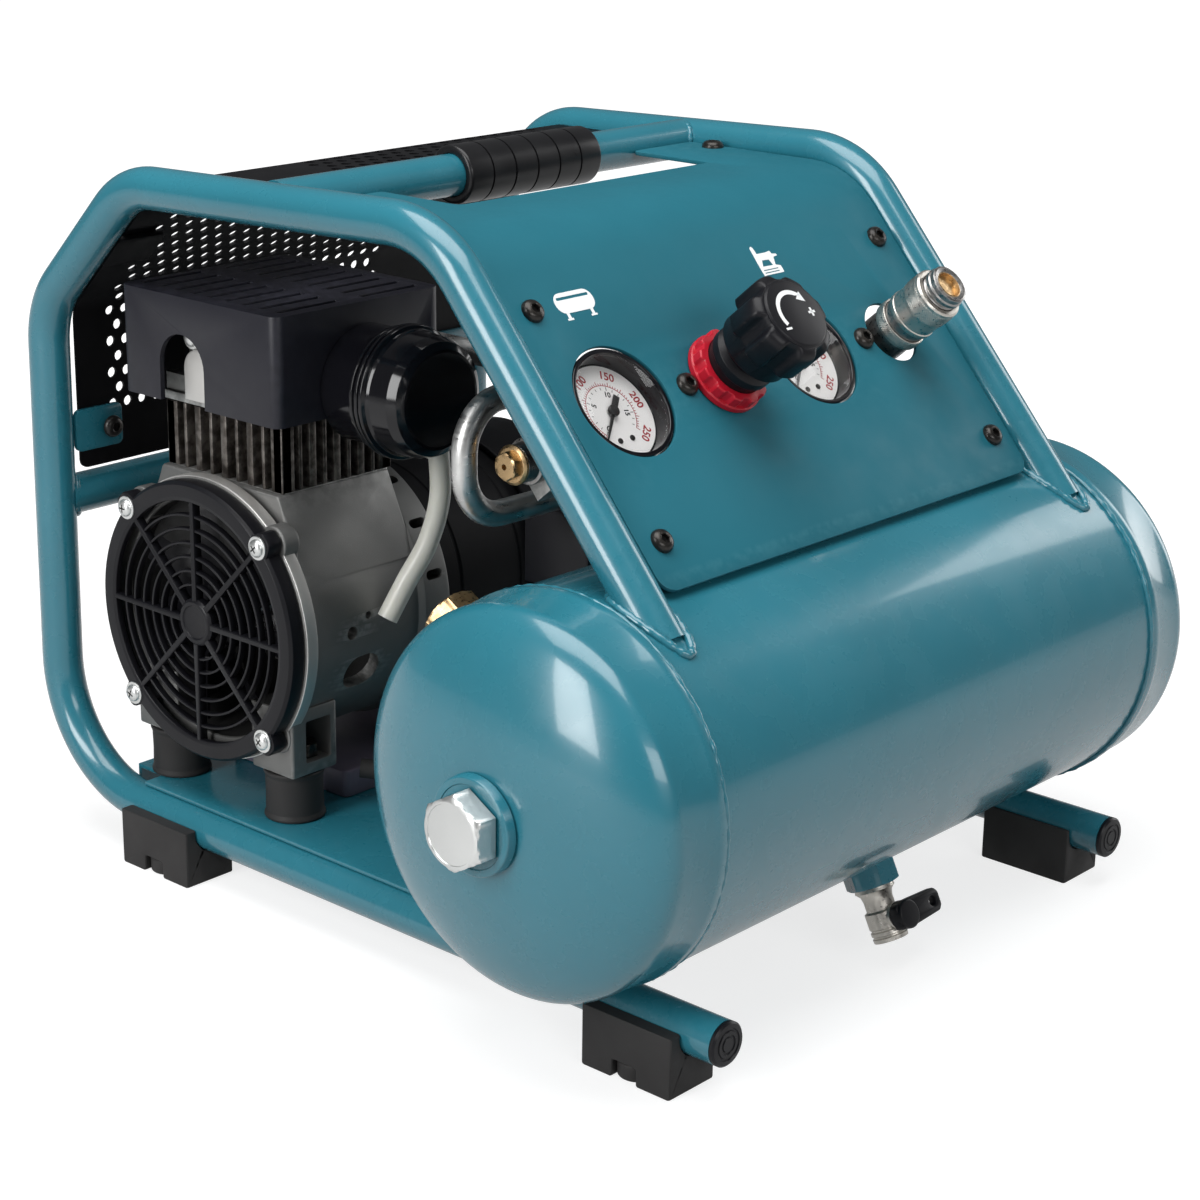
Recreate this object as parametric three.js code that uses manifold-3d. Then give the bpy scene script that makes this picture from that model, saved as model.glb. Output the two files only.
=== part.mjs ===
// Portable electric air compressor: one horizontal tank, a direct-drive oil-free pump and a sloping control
// panel, carried in a welded frame of round tube. Millimetres, +Z up. X runs along the tank, -Y is the front
// (tank and panel side), x = 0 is the mid-plane and z = 0 is the floor under the rubber feet.

import * as THREE from 'three';
import { mergeVertices } from 'three/addons/utils/BufferGeometryUtils.js';
import Module from 'manifold-3d';

const wasm = await Module();
wasm.setup();

// ---------------------------------------------------------------- driving dimensions
const GAP = 0.3;                     // clearance between neighbouring pieces

const TUBE_R = 9.5;                  // 19 mm frame tube
const TUBE_BORE_R = 8;
const FRAME_X = 140;                 // centre line of each bottom tube
const LOOP_LEAN = 3;                 // how far the top of each side loop leans inward
const LOOP_FRONT_Y = -206;
const LOOP_REAR_Y = 206.7;
const LOOP_BOTTOM_Z = 24.8;
const LOOP_TOP_Z = 323.1;
const REAR_CHAMFER_Z = 254.4;        // where the upright turns into the rear slope
const REAR_CHAMFER_Y = 144.1;        // where the rear slope turns into the top run
const TOP_REAR_Z = 317;              // the top run falls a little towards the rear
const LEG_TOP_Y = -46.1;             // virtual corner of the top run and the front leg
const LEG_ANGLE = Math.atan2(0.7578, 0.6525);   // slope of the leg and the panel from horizontal
const LEG_LENGTH = 190;
const LOOP_BENDS = { front: 52, bottom: 60, rear: 42, top: 42 };

const COVER_INSET = 4;               // rear cover's outer face, inside the loop's centre line
const COVER_SHEET = 1.5;
const COVER_REAR_Y = LOOP_REAR_Y - COVER_INSET;
const COVER_TOP_Z = LOOP_TOP_Z - COVER_INSET;
const COVER_SLOPE_SUM = LOOP_REAR_Y + REAR_CHAMFER_Z - COVER_INSET * Math.SQRT2;   // y + z on the 45 degree slope

const TAB = { inner: 104, sheet: 2.5, half: 10, down: [44, 150], topY: [17, 35], coverZ: [184, 204], slopeY: 170.1 };
const COVER_BOTTOM_Z = 175;
const COVER_FRONT_Y = 94;
const COVER_HALF_WIDTH = 127;
const COVER_BEND_R = 18;

const HANDLE_Y = 54;
const HANDLE_Z = LOOP_TOP_Z + ((HANDLE_Y - LEG_TOP_Y) * (TOP_REAR_Z - LOOP_TOP_Z)) / (REAR_CHAMFER_Y - LEG_TOP_Y);
const GRIP_R = 13.4;
const GRIP_X = [-28, 59];
const GRIP_ROUND = 2.5;              // how far each end of the grip is tapered
const CROSS_TUBE_Z = 162;
const TUBE_PLUG = { reach: 10, face: 1.8, dome: 2.6 };

const BASE_PLATE = { frontY: -96, rearY: 165, halfWidth: 142, lip: 10 };
const FOOT = { outer: 16, inner: 11.6, height: 27, notchDepth: 5, notchHeight: 8, notch: [0.62, 0.35] };
const FOOT_ROWS = [['front', -192.3, -145.6], ['rear', 98.8, 145.5]];

const TANK_Y = -133.3;
const TANK_Z = 115.1;
const TANK_R = 80.5;
const TANK_WALL = 2;
const SEAM_X = 151.5;                // end of the shell, where each head is welded on
const SEAM_BEAD = 2.4;
const HEAD_FLANGE_X = 175.6;         // end of the head's straight flange
const HEAD_DEPTH = 27.3;             // depth of the elliptical dome
const BUNG_R = 20;
const BUNG_X = 207;
const PLUG_FLATS = 28;
const DRAIN_ANGLE = THREE.MathUtils.degToRad(26.5);   // drain port, forward of straight down
const CHECK_ANGLE = THREE.MathUtils.degToRad(45);     // check valve port, above horizontal at the rear
const PORT_ANGLE = THREE.MathUtils.degToRad(30);      // plugged port, above horizontal at the rear
const DRAIN_X = 2;
const BOSS_SUNK = 1.5;               // how far each port boss reaches into the shell
const DRAIN_BOSS = { radius: 12, top: 9 };
const PORT_BOSS = { radius: 13, top: 5 };
const PORT_BORE_R = 5.3;
const DRAIN_VALVE = { stem: 24, outlet: 33.5, radius: 7.6, waist: 6.6, stemR: 3 };
const LEVER = { hubR: 6, hub: [8, 15], plate: [9, 13.5], reach: 19, endR: 5, eyeR: 2.2 };
const CHECK_X = 45;
const PORT_X = -134;

const PANEL_HALF_WIDTH = 126.5;
const PANEL_SHEET = 2;
const PANEL_ORIGIN = { y: -48.8, z: 324.4 };    // zero of the distances down the slope
const PANEL_LENGTH = 170.5;
const PANEL_TOP_AT = 5.8;            // where the slope meets the plane of the panel's flat top
const PANEL_REAR_Y = 44;
const PANEL_BEND_R = 46;
const DIAL_ROW = 90;                 // centre line of the dials, down the slope
const TANK_GAUGE_X = -92;
const REGULATOR_X = -31;
const OUTLET_GAUGE_X = 30;
const COUPLER_X = 87.5;
const GAUGE_HOLE_R = 25.5;
const REGULATOR_HOLE_R = 16;
const COUPLER_HOLE_R = 14.8;
const PANEL_CORNER_R = 8;
const GRIP_NOTCH = { x: [-80, 84], frontY: -3 };
const GAUGE = { radius: 24.8, rim: -0.6, dialR: 23.2, dial: -6.5, back: -27 };
const BONNET = { radius: 13.4, collarR: 14.6, collar: [12, 16], top: 19 };
const SPINDLE_R = 4;
const KNOB = { lobes: 7, radius: 18.6, wave: 1.6, body: [27, 46], skirtR: 17.2, skirt: 22, top: 49.5 };
const COUPLER = { radius: 8, collarR: 11.5, collar: [1, 9], boreR: 5.2, top: 40 };

const PUMP_Y = 105;
const SHAFT_Z = 124.5;
const CYLINDER_X = -88;
const CRANK_THROW = 8;
const BORE_R = 27.2;
const CRANKCASE_X = [-133, -40];
const CRANKCASE_R = 62;
const CRANKCASE = {
  flange: 7.3, topX: [-121, -55], topY: [-39, 40], footLength: 28, footHalf: 14, footTopZ: 90,
  crankRoomR: 56, motorRoomR: 50, webX: [-66, -55.5], shaftR: 7.6, boreR: 30,
  ventR: 9.5, ventX: -93.5, ventFall: -0.36,
};
const GUARD_FRONT_X = -141.5;
const GUARD_R = 65;
const MOTOR_X = [-39.7, 30];
const MOTOR_R = 54;
const MOUNT_R = 14;
const MOUNT_X = [-119, 12];
const MOUNT_Y = [65, 145];
const MOUNT_TOP_Z = 60;
const PLATE_TOP_Z = 36.6;
const PLATE_SHEET = 2;
const FLANGE_TOP_Z = 188;
const CYLINDER_TOP_Z = 218;
const COVER = { x: [-134, -35], y: [53.6, 158], z: [222, 271], wall: 2.5 };

const PIPE_R = 5.5;
const PIPE_Y = -45;
const PIPE_Z = [198.5, 248];
const PIPE_LEFT_X = -120;
const PIPE_START_X = -48;

// ---------------------------------------------------------------- finishes
const finish = (color, roughness, metalness) => new THREE.MeshStandardMaterial({ color, roughness, metalness });
const TEAL_PAINT = () => finish(0x2f7f92, 0.3, 0.2);
const BLACK_PLASTIC = () => finish(0x1b1b1f, 0.45, 0);
const RUBBER = () => finish(0x222224, 0.85, 0);
const CAST_ALUMINIUM = () => finish(0x9a9a98, 0.5, 0.85);
const ZINC = () => finish(0xc9ccca, 0.35, 0.9);
const NICKEL = () => finish(0xb9b4a8, 0.25, 0.95);
const BRASS = () => finish(0xc09050, 0.3, 0.95);
const STEEL = () => finish(0x8a8c90, 0.35, 0.9);
const BLACK_STEEL = () => finish(0x17181a, 0.4, 0.4);
const RED_PLASTIC = () => finish(0xc01824, 0.35, 0);
const CLEAR_HOSE = () => finish(0xd8d6cc, 0.4, 0);
const DIAL_WHITE = () => finish(0xeeeeea, 0.5, 0);
const COPPER = () => finish(0xa8603a, 0.4, 0.8);

// ---------------------------------------------------------------- geometry helpers
function solidOf(geometry) {
  const bare = geometry.clone();
  bare.deleteAttribute('normal');
  bare.deleteAttribute('uv');
  const merged = mergeVertices(bare, 1e-4);
  return new wasm.Manifold(new wasm.Mesh({
    numProp: 3,
    vertProperties: new Float32Array(merged.attributes.position.array),
    triVerts: new Uint32Array(merged.index.array),
  }));
}

function geometryOf(solid) {
  const mesh = solid.getMesh();
  const geometry = new THREE.BufferGeometry();
  geometry.setAttribute('position', new THREE.BufferAttribute(new Float32Array(mesh.vertProperties), 3));
  geometry.setIndex(new THREE.BufferAttribute(new Uint32Array(mesh.triVerts), 1));
  geometry.computeVertexNormals();
  return geometry;
}

// join(a, b, ...) and cut(a, b, ...) take geometries and give a geometry.
const join = (first, ...rest) => geometryOf(rest.reduce((sum, g) => sum.add(solidOf(g)), solidOf(first)));
const cut = (first, ...rest) => geometryOf(rest.reduce((left, g) => left.subtract(solidOf(g)), solidOf(first)));

// A box from its lowest to its highest corner.
function box(x0, x1, y0, y1, z0, z1) {
  const g = new THREE.BoxGeometry(x1 - x0, y1 - y0, z1 - z0);
  g.translate((x0 + x1) / 2, (y0 + y1) / 2, (z0 + z1) / 2);
  return g;
}

// A round bar along local Z from z0 to z1.
function bar(radius, z0, z1, segments = 24, endRadius = radius) {
  const g = new THREE.CylinderGeometry(endRadius, radius, z1 - z0, segments);
  g.rotateX(Math.PI / 2);
  g.translate(0, 0, (z0 + z1) / 2);
  return g;
}

// A solid of revolution about local Z. Each point is [radius, z], listed anticlockwise from the axis side.
function turned(profile, segments = 32, closed = true) {
  const points = profile.map(([r, z]) => new THREE.Vector2(r, z));
  if (closed) points.push(points[0].clone());
  const g = new THREE.LatheGeometry(points, segments);
  g.rotateX(Math.PI / 2);
  return g;
}

// A ring of rectangular section about local Z.
const ring = (outer, inner, z0, z1, segments = 32) =>
  turned([[inner, z0], [outer, z0], [outer, z1], [inner, z1]], segments);

// Turns local Z to +X, -X, or a direction in the YZ plane.
const alongX = (g) => g.rotateY(Math.PI / 2);
const alongMinusX = (g) => g.rotateY(-Math.PI / 2);
function alongYZ(g, y, z) {
  return g.rotateX(Math.atan2(-y, z));
}

// A flat outline in local XY, raised along local Z.
function plate(shape, z0, z1, curveSegments = 8) {
  const g = new THREE.ExtrudeGeometry(shape, { depth: z1 - z0, bevelEnabled: false, curveSegments });
  g.translate(0, 0, z0);
  return g;
}

function polygon(points) {
  return new THREE.Shape(points.map(([a, b]) => new THREE.Vector2(a, b)));
}

function roundedRectangle(width, height, radius) {
  const w = width / 2 - radius;
  const h = height / 2 - radius;
  const shape = new THREE.Shape();
  shape.absarc(w, h, radius, 0, Math.PI / 2);
  shape.absarc(-w, h, radius, Math.PI / 2, Math.PI);
  shape.absarc(-w, -h, radius, Math.PI, 1.5 * Math.PI);
  shape.absarc(w, -h, radius, 1.5 * Math.PI, 2 * Math.PI);
  return shape;
}

// Corner points joined by straight runs and round bends; radii[i] is the bend at corner i.
function bentPoints(corners, radii, stepDegrees = 15) {
  const points = [corners[0]];
  for (let i = 1; i < corners.length - 1; i++) {
    const back = corners[i - 1].clone().sub(corners[i]).normalize();
    const ahead = corners[i + 1].clone().sub(corners[i]).normalize();
    const turn = Math.PI - back.angleTo(ahead);
    const centre = corners[i].clone().addScaledVector(
      back.clone().add(ahead).normalize(), radii[i] / Math.cos(turn / 2));
    const from = corners[i].clone().addScaledVector(back, radii[i] * Math.tan(turn / 2)).sub(centre);
    const axis = back.clone().cross(from).normalize();
    const steps = Math.max(2, Math.round(THREE.MathUtils.radToDeg(turn) / stepDegrees));
    for (let k = 0; k <= steps; k++) {
      points.push(from.clone().applyAxisAngle(axis, (turn * k) / steps).add(centre));
    }
  }
  points.push(corners.at(-1));
  return points;
}

// A path through given points, with one section at each point.
class PointPath extends THREE.Curve {
  constructor(points) {
    super();
    this.points = points;
  }
  getPoint(t, target = new THREE.Vector3()) {
    const place = t * (this.points.length - 1);
    const i = Math.min(Math.floor(place), this.points.length - 2);
    return target.lerpVectors(this.points[i], this.points[i + 1], place - i);
  }
  getPointAt(u, target) {
    return this.getPoint(u, target);
  }
  getSpacedPoints() {
    return this.points.map((p) => p.clone());
  }
  getTangentAt(u, target = new THREE.Vector3()) {
    const i = Math.round(u * (this.points.length - 1));
    const before = this.points[Math.max(i - 1, 0)];
    const after = this.points[Math.min(i + 1, this.points.length - 1)];
    const here = this.points[i];
    const ahead = after.clone().sub(here).normalize();
    const behind = here.clone().sub(before).normalize();
    return target.copy(ahead).add(behind).normalize();
  }
}

// A round tube or rod along the points; bore 0 makes it a rod.
function tube(points, radius, bore = 0, segments = 16) {
  const shape = new THREE.Shape();
  shape.absarc(0, 0, radius, 0, 2 * Math.PI);
  if (bore > 0) {
    const hole = new THREE.Path();
    hole.absarc(0, 0, bore, 0, 2 * Math.PI, true);
    shape.holes.push(hole);
  }
  return new THREE.ExtrudeGeometry(shape, {
    steps: points.length - 1,
    extrudePath: new PointPath(points),
    curveSegments: segments,
  });
}

const at = (x, y, z) => new THREE.Vector3(x, y, z);

// ---------------------------------------------------------------- scene graph
const compressor = new THREE.Group();

// Frames of reference: the tank's axis, the panel's slope and the pump's shaft.
const tankFrame = new THREE.Group();
tankFrame.position.set(0, TANK_Y, TANK_Z);
const panelFrame = new THREE.Group();
panelFrame.position.set(0, PANEL_ORIGIN.y, PANEL_ORIGIN.z);
panelFrame.rotation.x = LEG_ANGLE;
const pumpFrame = new THREE.Group();
pumpFrame.position.set(0, PUMP_Y, SHAFT_Z);
compressor.add(tankFrame, panelFrame, pumpFrame);

function piece(name, geometry, material, group = compressor) {
  const mesh = new THREE.Mesh(geometry, material);
  mesh.name = name;
  group.add(mesh);
  return mesh;
}

// ---------------------------------------------------------------- welded frame
const legDown = at(0, -Math.cos(LEG_ANGLE), -Math.sin(LEG_ANGLE));
const downSlope = (distance) => at(0, PANEL_ORIGIN.y, PANEL_ORIGIN.z).addScaledVector(legDown, distance);
const PANEL_TOP_Z = downSlope(PANEL_TOP_AT).z;

// Distance of the leaning side loop from the mid-plane at a height.
const loopX = (z) => FRAME_X - (LOOP_LEAN * (z - LOOP_BOTTOM_Z)) / (LOOP_TOP_Z - LOOP_BOTTOM_Z);
const onLoop = (y, z) => at(loopX(z), y, z);

function loopCorners() {
  return [
    onLoop(LOOP_FRONT_Y, LOOP_BOTTOM_Z),
    onLoop(LOOP_REAR_Y, LOOP_BOTTOM_Z),
    onLoop(LOOP_REAR_Y, REAR_CHAMFER_Z),
    onLoop(REAR_CHAMFER_Y, TOP_REAR_Z),
    onLoop(LEG_TOP_Y, LOOP_TOP_Z),
    onLoop(LEG_TOP_Y + LEG_LENGTH * legDown.y, LOOP_TOP_Z + LEG_LENGTH * legDown.z),
  ];
}

// The tank as a plain bar, used to shape whatever is welded to it.
function tankClearance(extra = GAP) {
  return alongX(bar(TANK_R + extra, -260, 260, 96)).translate(0, TANK_Y, TANK_Z);
}

// Flat tabs welded to the right loop: three under the panel and two inside the rear cover.
function frameTabs() {
  const { inner, sheet, half, slopeY } = TAB;
  const outer = FRAME_X - LOOP_LEAN;
  const top = -PANEL_SHEET - GAP;
  const onSlope = TAB.down.map((down) => box(inner, outer, -down - half, -down + half, top - sheet, top)
    .rotateX(LEG_ANGLE).translate(0, PANEL_ORIGIN.y, PANEL_ORIGIN.z));
  const underTop = box(inner, outer, ...TAB.topY, PANEL_TOP_Z + top - sheet, PANEL_TOP_Z + top);
  const cover = -COVER_SHEET - GAP;
  const insideCover = box(inner, outer, COVER_REAR_Y + cover - sheet, COVER_REAR_Y + cover, ...TAB.coverZ);
  const insideSlope = box(inner, outer, -half, half, cover - sheet, cover).rotateX(-Math.PI / 4)
    .translate(0, slopeY, COVER_SLOPE_SUM - slopeY);
  return [...onSlope, underTop, insideCover, insideSlope];
}

function rightLoop() {
  const bends = [0, LOOP_BENDS.bottom, LOOP_BENDS.rear, LOOP_BENDS.top, LOOP_BENDS.front, 0];
  const run = bentPoints(loopCorners(), bends, 22.5);
  const tabs = frameTabs().map((tab) => cut(tab, tube(run, TUBE_R - 0.7, 0, 6)));
  return cut(join(tube(run, TUBE_R, TUBE_BORE_R, 6), ...tabs), tankClearance());
}

// The same piece on the other side of the mid-plane.
function mirrored(g) {
  const reflected = g.clone().scale(-1, 1, 1);
  const index = reflected.index.array;
  for (let i = 0; i < index.length; i += 3) {
    [index[i], index[i + 1]] = [index[i + 1], index[i]];
  }
  return reflected;
}

piece('side_frame_left', mirrored(rightLoop()), TEAL_PAINT());
piece('side_frame_right', rightLoop(), TEAL_PAINT());

// A cross tube between the loops, its ends coped round the tubes it is welded to.
function crossTube(y, z, copeAlong) {
  const reach = loopX(z) - TUBE_R;
  const body = alongX(ring(TUBE_R, TUBE_BORE_R, -reach - 4, reach + 4, 16)).translate(0, y, z);
  const copes = [-1, 1].map((side) => {
    const cope = bar(TUBE_R + GAP, -60, 60, 24);
    if (copeAlong === 'y') cope.rotateX(Math.PI / 2);
    return cope.translate(side * loopX(z), y, z);
  });
  return cut(body, ...copes);
}

piece('handle_bar', crossTube(HANDLE_Y, HANDLE_Z, 'y'), TEAL_PAINT());
piece('rear_cross_tube', crossTube(LOOP_REAR_Y, CROSS_TUBE_Z, 'z'), TEAL_PAINT());

function gripSleeve() {
  const [x0, x1] = GRIP_X;
  const sleeve = turned([
    [TUBE_R + GAP, x0], [GRIP_R - GRIP_ROUND, x0], [GRIP_R, x0 + GRIP_ROUND], [GRIP_R, x1 - GRIP_ROUND],
    [GRIP_R - GRIP_ROUND, x1],
    [TUBE_R + GAP, x1],
  ], 20);
  return alongX(sleeve).translate(0, HANDLE_Y, HANDLE_Z);
}
piece('handle_grip', gripSleeve(), RUBBER());

// Floor plate of folded sheet, resting on both bottom tubes, with its front and rear edges turned down.
function basePlate() {
  const front = BASE_PLATE.frontY;
  const bendStart = LOOP_REAR_Y - LOOP_BENDS.bottom - 2;
  const rear = BASE_PLATE.rearY;
  const lowest = PLATE_TOP_Z - PLATE_SHEET - BASE_PLATE.lip;
  const bottom = PLATE_TOP_Z - PLATE_SHEET;
  const lip = FRAME_X - TUBE_R - 1;
  return join(
    box(-BASE_PLATE.halfWidth, BASE_PLATE.halfWidth, front, bendStart, bottom, PLATE_TOP_Z),
    box(-lip, lip, bendStart - 1, rear, bottom, PLATE_TOP_Z),
    box(-lip, lip, front, front + PLATE_SHEET, lowest, bottom + 1),
    box(-lip, lip, rear - PLATE_SHEET, rear, lowest, bottom + 1),
  );
}
piece('base_plate', basePlate(), TEAL_PAINT());

// Rubber foot: a block with a round channel for the tube, a notch in its outer wall and a round boss below.
function rightFoot(y0, y1) {
  const outer = FRAME_X + FOOT.outer;
  const inner = FRAME_X - FOOT.inner;
  const [notchStart, notchEnd] = FOOT.notch.map((share) => y1 - share * (y1 - y0));
  const block = box(inner, outer, y0, y1, 0, FOOT.height);
  const channel = bar(TUBE_R + GAP, y0 - 5, y1 + 5, 24).rotateX(-Math.PI / 2).translate(FRAME_X, 0, LOOP_BOTTOM_Z);
  const notch = box(outer - FOOT.notchDepth, outer + 1, notchStart, notchEnd, -1, FOOT.notchHeight);
  return cut(block, channel, notch);
}

for (const [row, y0, y1] of FOOT_ROWS) {
  piece(`foot_${row}_left`, mirrored(rightFoot(y0, y1)), RUBBER());
  piece(`foot_${row}_right`, rightFoot(y0, y1), RUBBER());
}

// Push-in plug that closes the open front end of each bottom tube.
function tubePlug(side) {
  const { reach, face: edge, dome } = TUBE_PLUG;
  const shankR = TUBE_BORE_R - 0.4;
  const face = turned([[0, -reach], [shankR, -reach], [shankR, GAP], [TUBE_R, GAP], [TUBE_R, edge],
    [TUBE_R - 1, dome], [0, dome]], 16);
  return alongYZ(face, -1, 0).translate(side * FRAME_X, LOOP_FRONT_Y, LOOP_BOTTOM_Z);
}
piece('tube_plug_left', tubePlug(-1), BLACK_PLASTIC());
piece('tube_plug_right', tubePlug(1), BLACK_PLASTIC());

// ---------------------------------------------------------------- tank
// A port boss pointing away from the tank axis, in a direction of the YZ plane.
const onTank = (g, x, y, z) => alongYZ(g, y, z).translate(x, 0, 0);
const DRAIN_DIR = [-Math.sin(DRAIN_ANGLE), -Math.cos(DRAIN_ANGLE)];
const CHECK_DIR = [Math.cos(CHECK_ANGLE), Math.sin(CHECK_ANGLE)];
const PORT_DIR = [Math.cos(PORT_ANGLE), Math.sin(PORT_ANGLE)];

function tankShell() {
  const wall = alongX(ring(TANK_R, TANK_R - TANK_WALL, -SEAM_X, SEAM_X, 24));
  const drainBoss = onTank(bar(DRAIN_BOSS.radius, TANK_R - BOSS_SUNK, TANK_R + DRAIN_BOSS.top, 6),
    DRAIN_X, ...DRAIN_DIR);
  const [checkBoss, portBoss] = [[CHECK_X, CHECK_DIR], [PORT_X, PORT_DIR]].map(([x, direction]) => onTank(
    bar(PORT_BOSS.radius, TANK_R - BOSS_SUNK, TANK_R + PORT_BOSS.top, 20), x, ...direction));
  const bores = [[DRAIN_X, DRAIN_DIR], [CHECK_X, CHECK_DIR], [PORT_X, PORT_DIR]]
    .map(([x, direction]) => onTank(bar(PORT_BORE_R, TANK_R - 10, TANK_R + 20, 12), x, ...direction));
  return cut(join(wall, drainBoss, checkBoss, portBoss), ...bores);
}
piece('tank_shell', tankShell(), TEAL_PAINT(), tankFrame);

// Dished head: a lip that slides inside the shell, the weld bead, a straight flange, the dome and a bung.
function tankHead(side) {
  const lipR = TANK_R - TANK_WALL - GAP;
  const seam = SEAM_X + GAP;
  const dome = (x, outer) => outer * Math.sqrt(Math.max(0, 1 - ((x - HEAD_FLANGE_X) / HEAD_DEPTH) ** 2));
  const outside = [];
  for (let k = 0; k <= 4; k++) {
    const x = HEAD_FLANGE_X + HEAD_DEPTH * Math.sin((k / 4) * 1.32);
    outside.push([dome(x, TANK_R), x]);
  }
  const inside = [];
  for (let k = 2; k >= 0; k--) {
    const x = HEAD_FLANGE_X - 2 + HEAD_DEPTH * Math.sin((k / 2) * 1.3);
    inside.push([dome(x + 2, TANK_R - TANK_WALL - 0.6), x]);
  }
  const profile = [
    [lipR - 2, seam - 10], [lipR, seam - 10], [lipR, seam], [TANK_R + SEAM_BEAD * 0.7, seam],
    [TANK_R + SEAM_BEAD, seam + 2], [TANK_R + SEAM_BEAD, seam + 4.5], [TANK_R, seam + 7],
    ...outside, [BUNG_R, BUNG_X - 2], [BUNG_R - 1.5, BUNG_X], [8.8, BUNG_X], [8.8, BUNG_X - 10],
    ...inside,
  ];
  const g = turned(profile, 24);
  return side < 0 ? alongMinusX(g) : alongX(g);
}
piece('tank_head_left', tankHead(-1), TEAL_PAINT(), tankFrame);
piece('tank_head_right', tankHead(1), TEAL_PAINT(), tankFrame);

// Hexagon-head screw plug in each bung.
function tankPlug(side) {
  const head = bar(PLUG_FLATS / Math.sqrt(3), BUNG_X + GAP, BUNG_X + 9, 6);
  const crown = bar(PLUG_FLATS / Math.sqrt(3) - 0.3, BUNG_X + 8.5, BUNG_X + 10.5, 6, PLUG_FLATS / 2 - 1);
  const thread = bar(8.4, BUNG_X - 14, BUNG_X + 1, 12);
  const g = join(head, crown, thread);
  return side < 0 ? alongMinusX(g) : alongX(g);
}
piece('tank_plug_left', tankPlug(-1), ZINC(), tankFrame);
piece('tank_plug_right', tankPlug(1), ZINC(), tankFrame);

// Brass hexagon plug in the spare port at the rear of the tank.
function portPlug() {
  return onTank(join(bar(13.5, TANK_R + PORT_BOSS.top + GAP, TANK_R + 17, 6), bar(5, TANK_R - 3, TANK_R + 6, 10)),
    PORT_X, ...PORT_DIR);
}
piece('tank_port_plug', portPlug(), BRASS(), tankFrame);

// Check valve where the discharge pipe enters the tank.
function checkValve() {
  return onTank(join(
    bar(12, TANK_R + PORT_BOSS.top + GAP, TANK_R + 12, 6),
    bar(9, TANK_R + 11, TANK_R + 17, 16),
    bar(5, TANK_R - 3, TANK_R + 6, 10),
  ), CHECK_X, ...CHECK_DIR);
}
piece('check_valve', checkValve(), BRASS(), tankFrame);

// Drain ball valve. Its outlet points away from the tank and its stem points forward, square to the outlet.
const DRAIN_STEM_AT = TANK_R + DRAIN_VALVE.stem;
const DRAIN_STEM_DIR = [-Math.cos(DRAIN_ANGLE), Math.sin(DRAIN_ANGLE)];

// Places a lever part drawn about the stem axis (local Z), its arm along +X.
function onStem(g) {
  return alongYZ(g, ...DRAIN_STEM_DIR)
    .translate(DRAIN_X, DRAIN_STEM_AT * DRAIN_DIR[0], DRAIN_STEM_AT * DRAIN_DIR[1]);
}

function drainValveBody() {
  const { waist, radius, outlet: end, stemR } = DRAIN_VALVE;
  const body = onTank(turned([[0, TANK_R + 9.6], [8, TANK_R + 9.6], [waist, TANK_R + 12], [waist, TANK_R + 25],
    [radius, TANK_R + 26], [radius, TANK_R + end], [0, TANK_R + end]], 14, false), DRAIN_X, ...DRAIN_DIR);
  const stub = onTank(bar(4.9, TANK_R - 3, TANK_R + 10, 10), DRAIN_X, ...DRAIN_DIR);
  const outlet = onTank(bar(3, TANK_R + 24, TANK_R + 40, 8), DRAIN_X, ...DRAIN_DIR);
  return cut(join(body, stub, onStem(bar(stemR, 0, LEVER.plate[1], 10))), outlet);
}
piece('drain_valve_body', drainValveBody(), NICKEL(), tankFrame);

function drainValveLever() {
  const { hubR, reach, endR, eyeR } = LEVER;
  const hub = bar(hubR, ...LEVER.hub, 16);
  const outline = new THREE.Shape();
  outline.moveTo(0, -endR - 0.5);
  outline.lineTo(reach, -endR);
  outline.absarc(reach, 0, endR, -Math.PI / 2, Math.PI / 2);
  outline.lineTo(0, endR + 0.5);
  const eye = new THREE.Path();
  eye.absarc(reach, 0, eyeR, 0, 2 * Math.PI, true);
  outline.holes.push(eye);
  return onStem(cut(join(hub, plate(outline, ...LEVER.plate, 4)), bar(DRAIN_VALVE.stemR + GAP, 5, 20, 12)));
}
piece('drain_valve_lever', drainValveLever(), BLACK_PLASTIC(), tankFrame);

// ---------------------------------------------------------------- control panel and what is on it
// The sheet's section, seen from the side: down the slope, round the bend and back along the top.
function panelSheet() {
  const path = [
    downSlope(PANEL_LENGTH),
    downSlope(PANEL_TOP_AT),
    at(0, PANEL_REAR_Y, PANEL_TOP_Z),
  ];
  const outer = bentPoints(path, [0, PANEL_BEND_R, 0], 10);
  const inner = outer.map((p, i) => {
    const before = outer[Math.max(i - 1, 0)];
    const after = outer[Math.min(i + 1, outer.length - 1)];
    const along = after.clone().sub(before).normalize();
    return p.clone().add(at(0, along.z, -along.y).multiplyScalar(PANEL_SHEET));
  });
  const outline = polygon([...outer, ...inner.reverse()].map((p) => [p.y, p.z]));
  const sheet = plate(outline, -PANEL_HALF_WIDTH, PANEL_HALF_WIDTH);
  return sheet.rotateY(Math.PI / 2).rotateX(Math.PI / 2);
}

const onPanel = (g, x, down) => g.rotateX(LEG_ANGLE).translate(x, downSlope(down).y, downSlope(down).z);

// What is taken off the panel's lower right corner to round it.
function panelCorner() {
  const radius = PANEL_CORNER_R;
  const square = box(-radius, 1, -1, radius, -10, 10);
  const cutter = cut(square, bar(radius, -12, 12, 16).translate(-radius, radius, 0));
  return onPanel(cutter, PANEL_HALF_WIDTH, PANEL_LENGTH);
}

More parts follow.
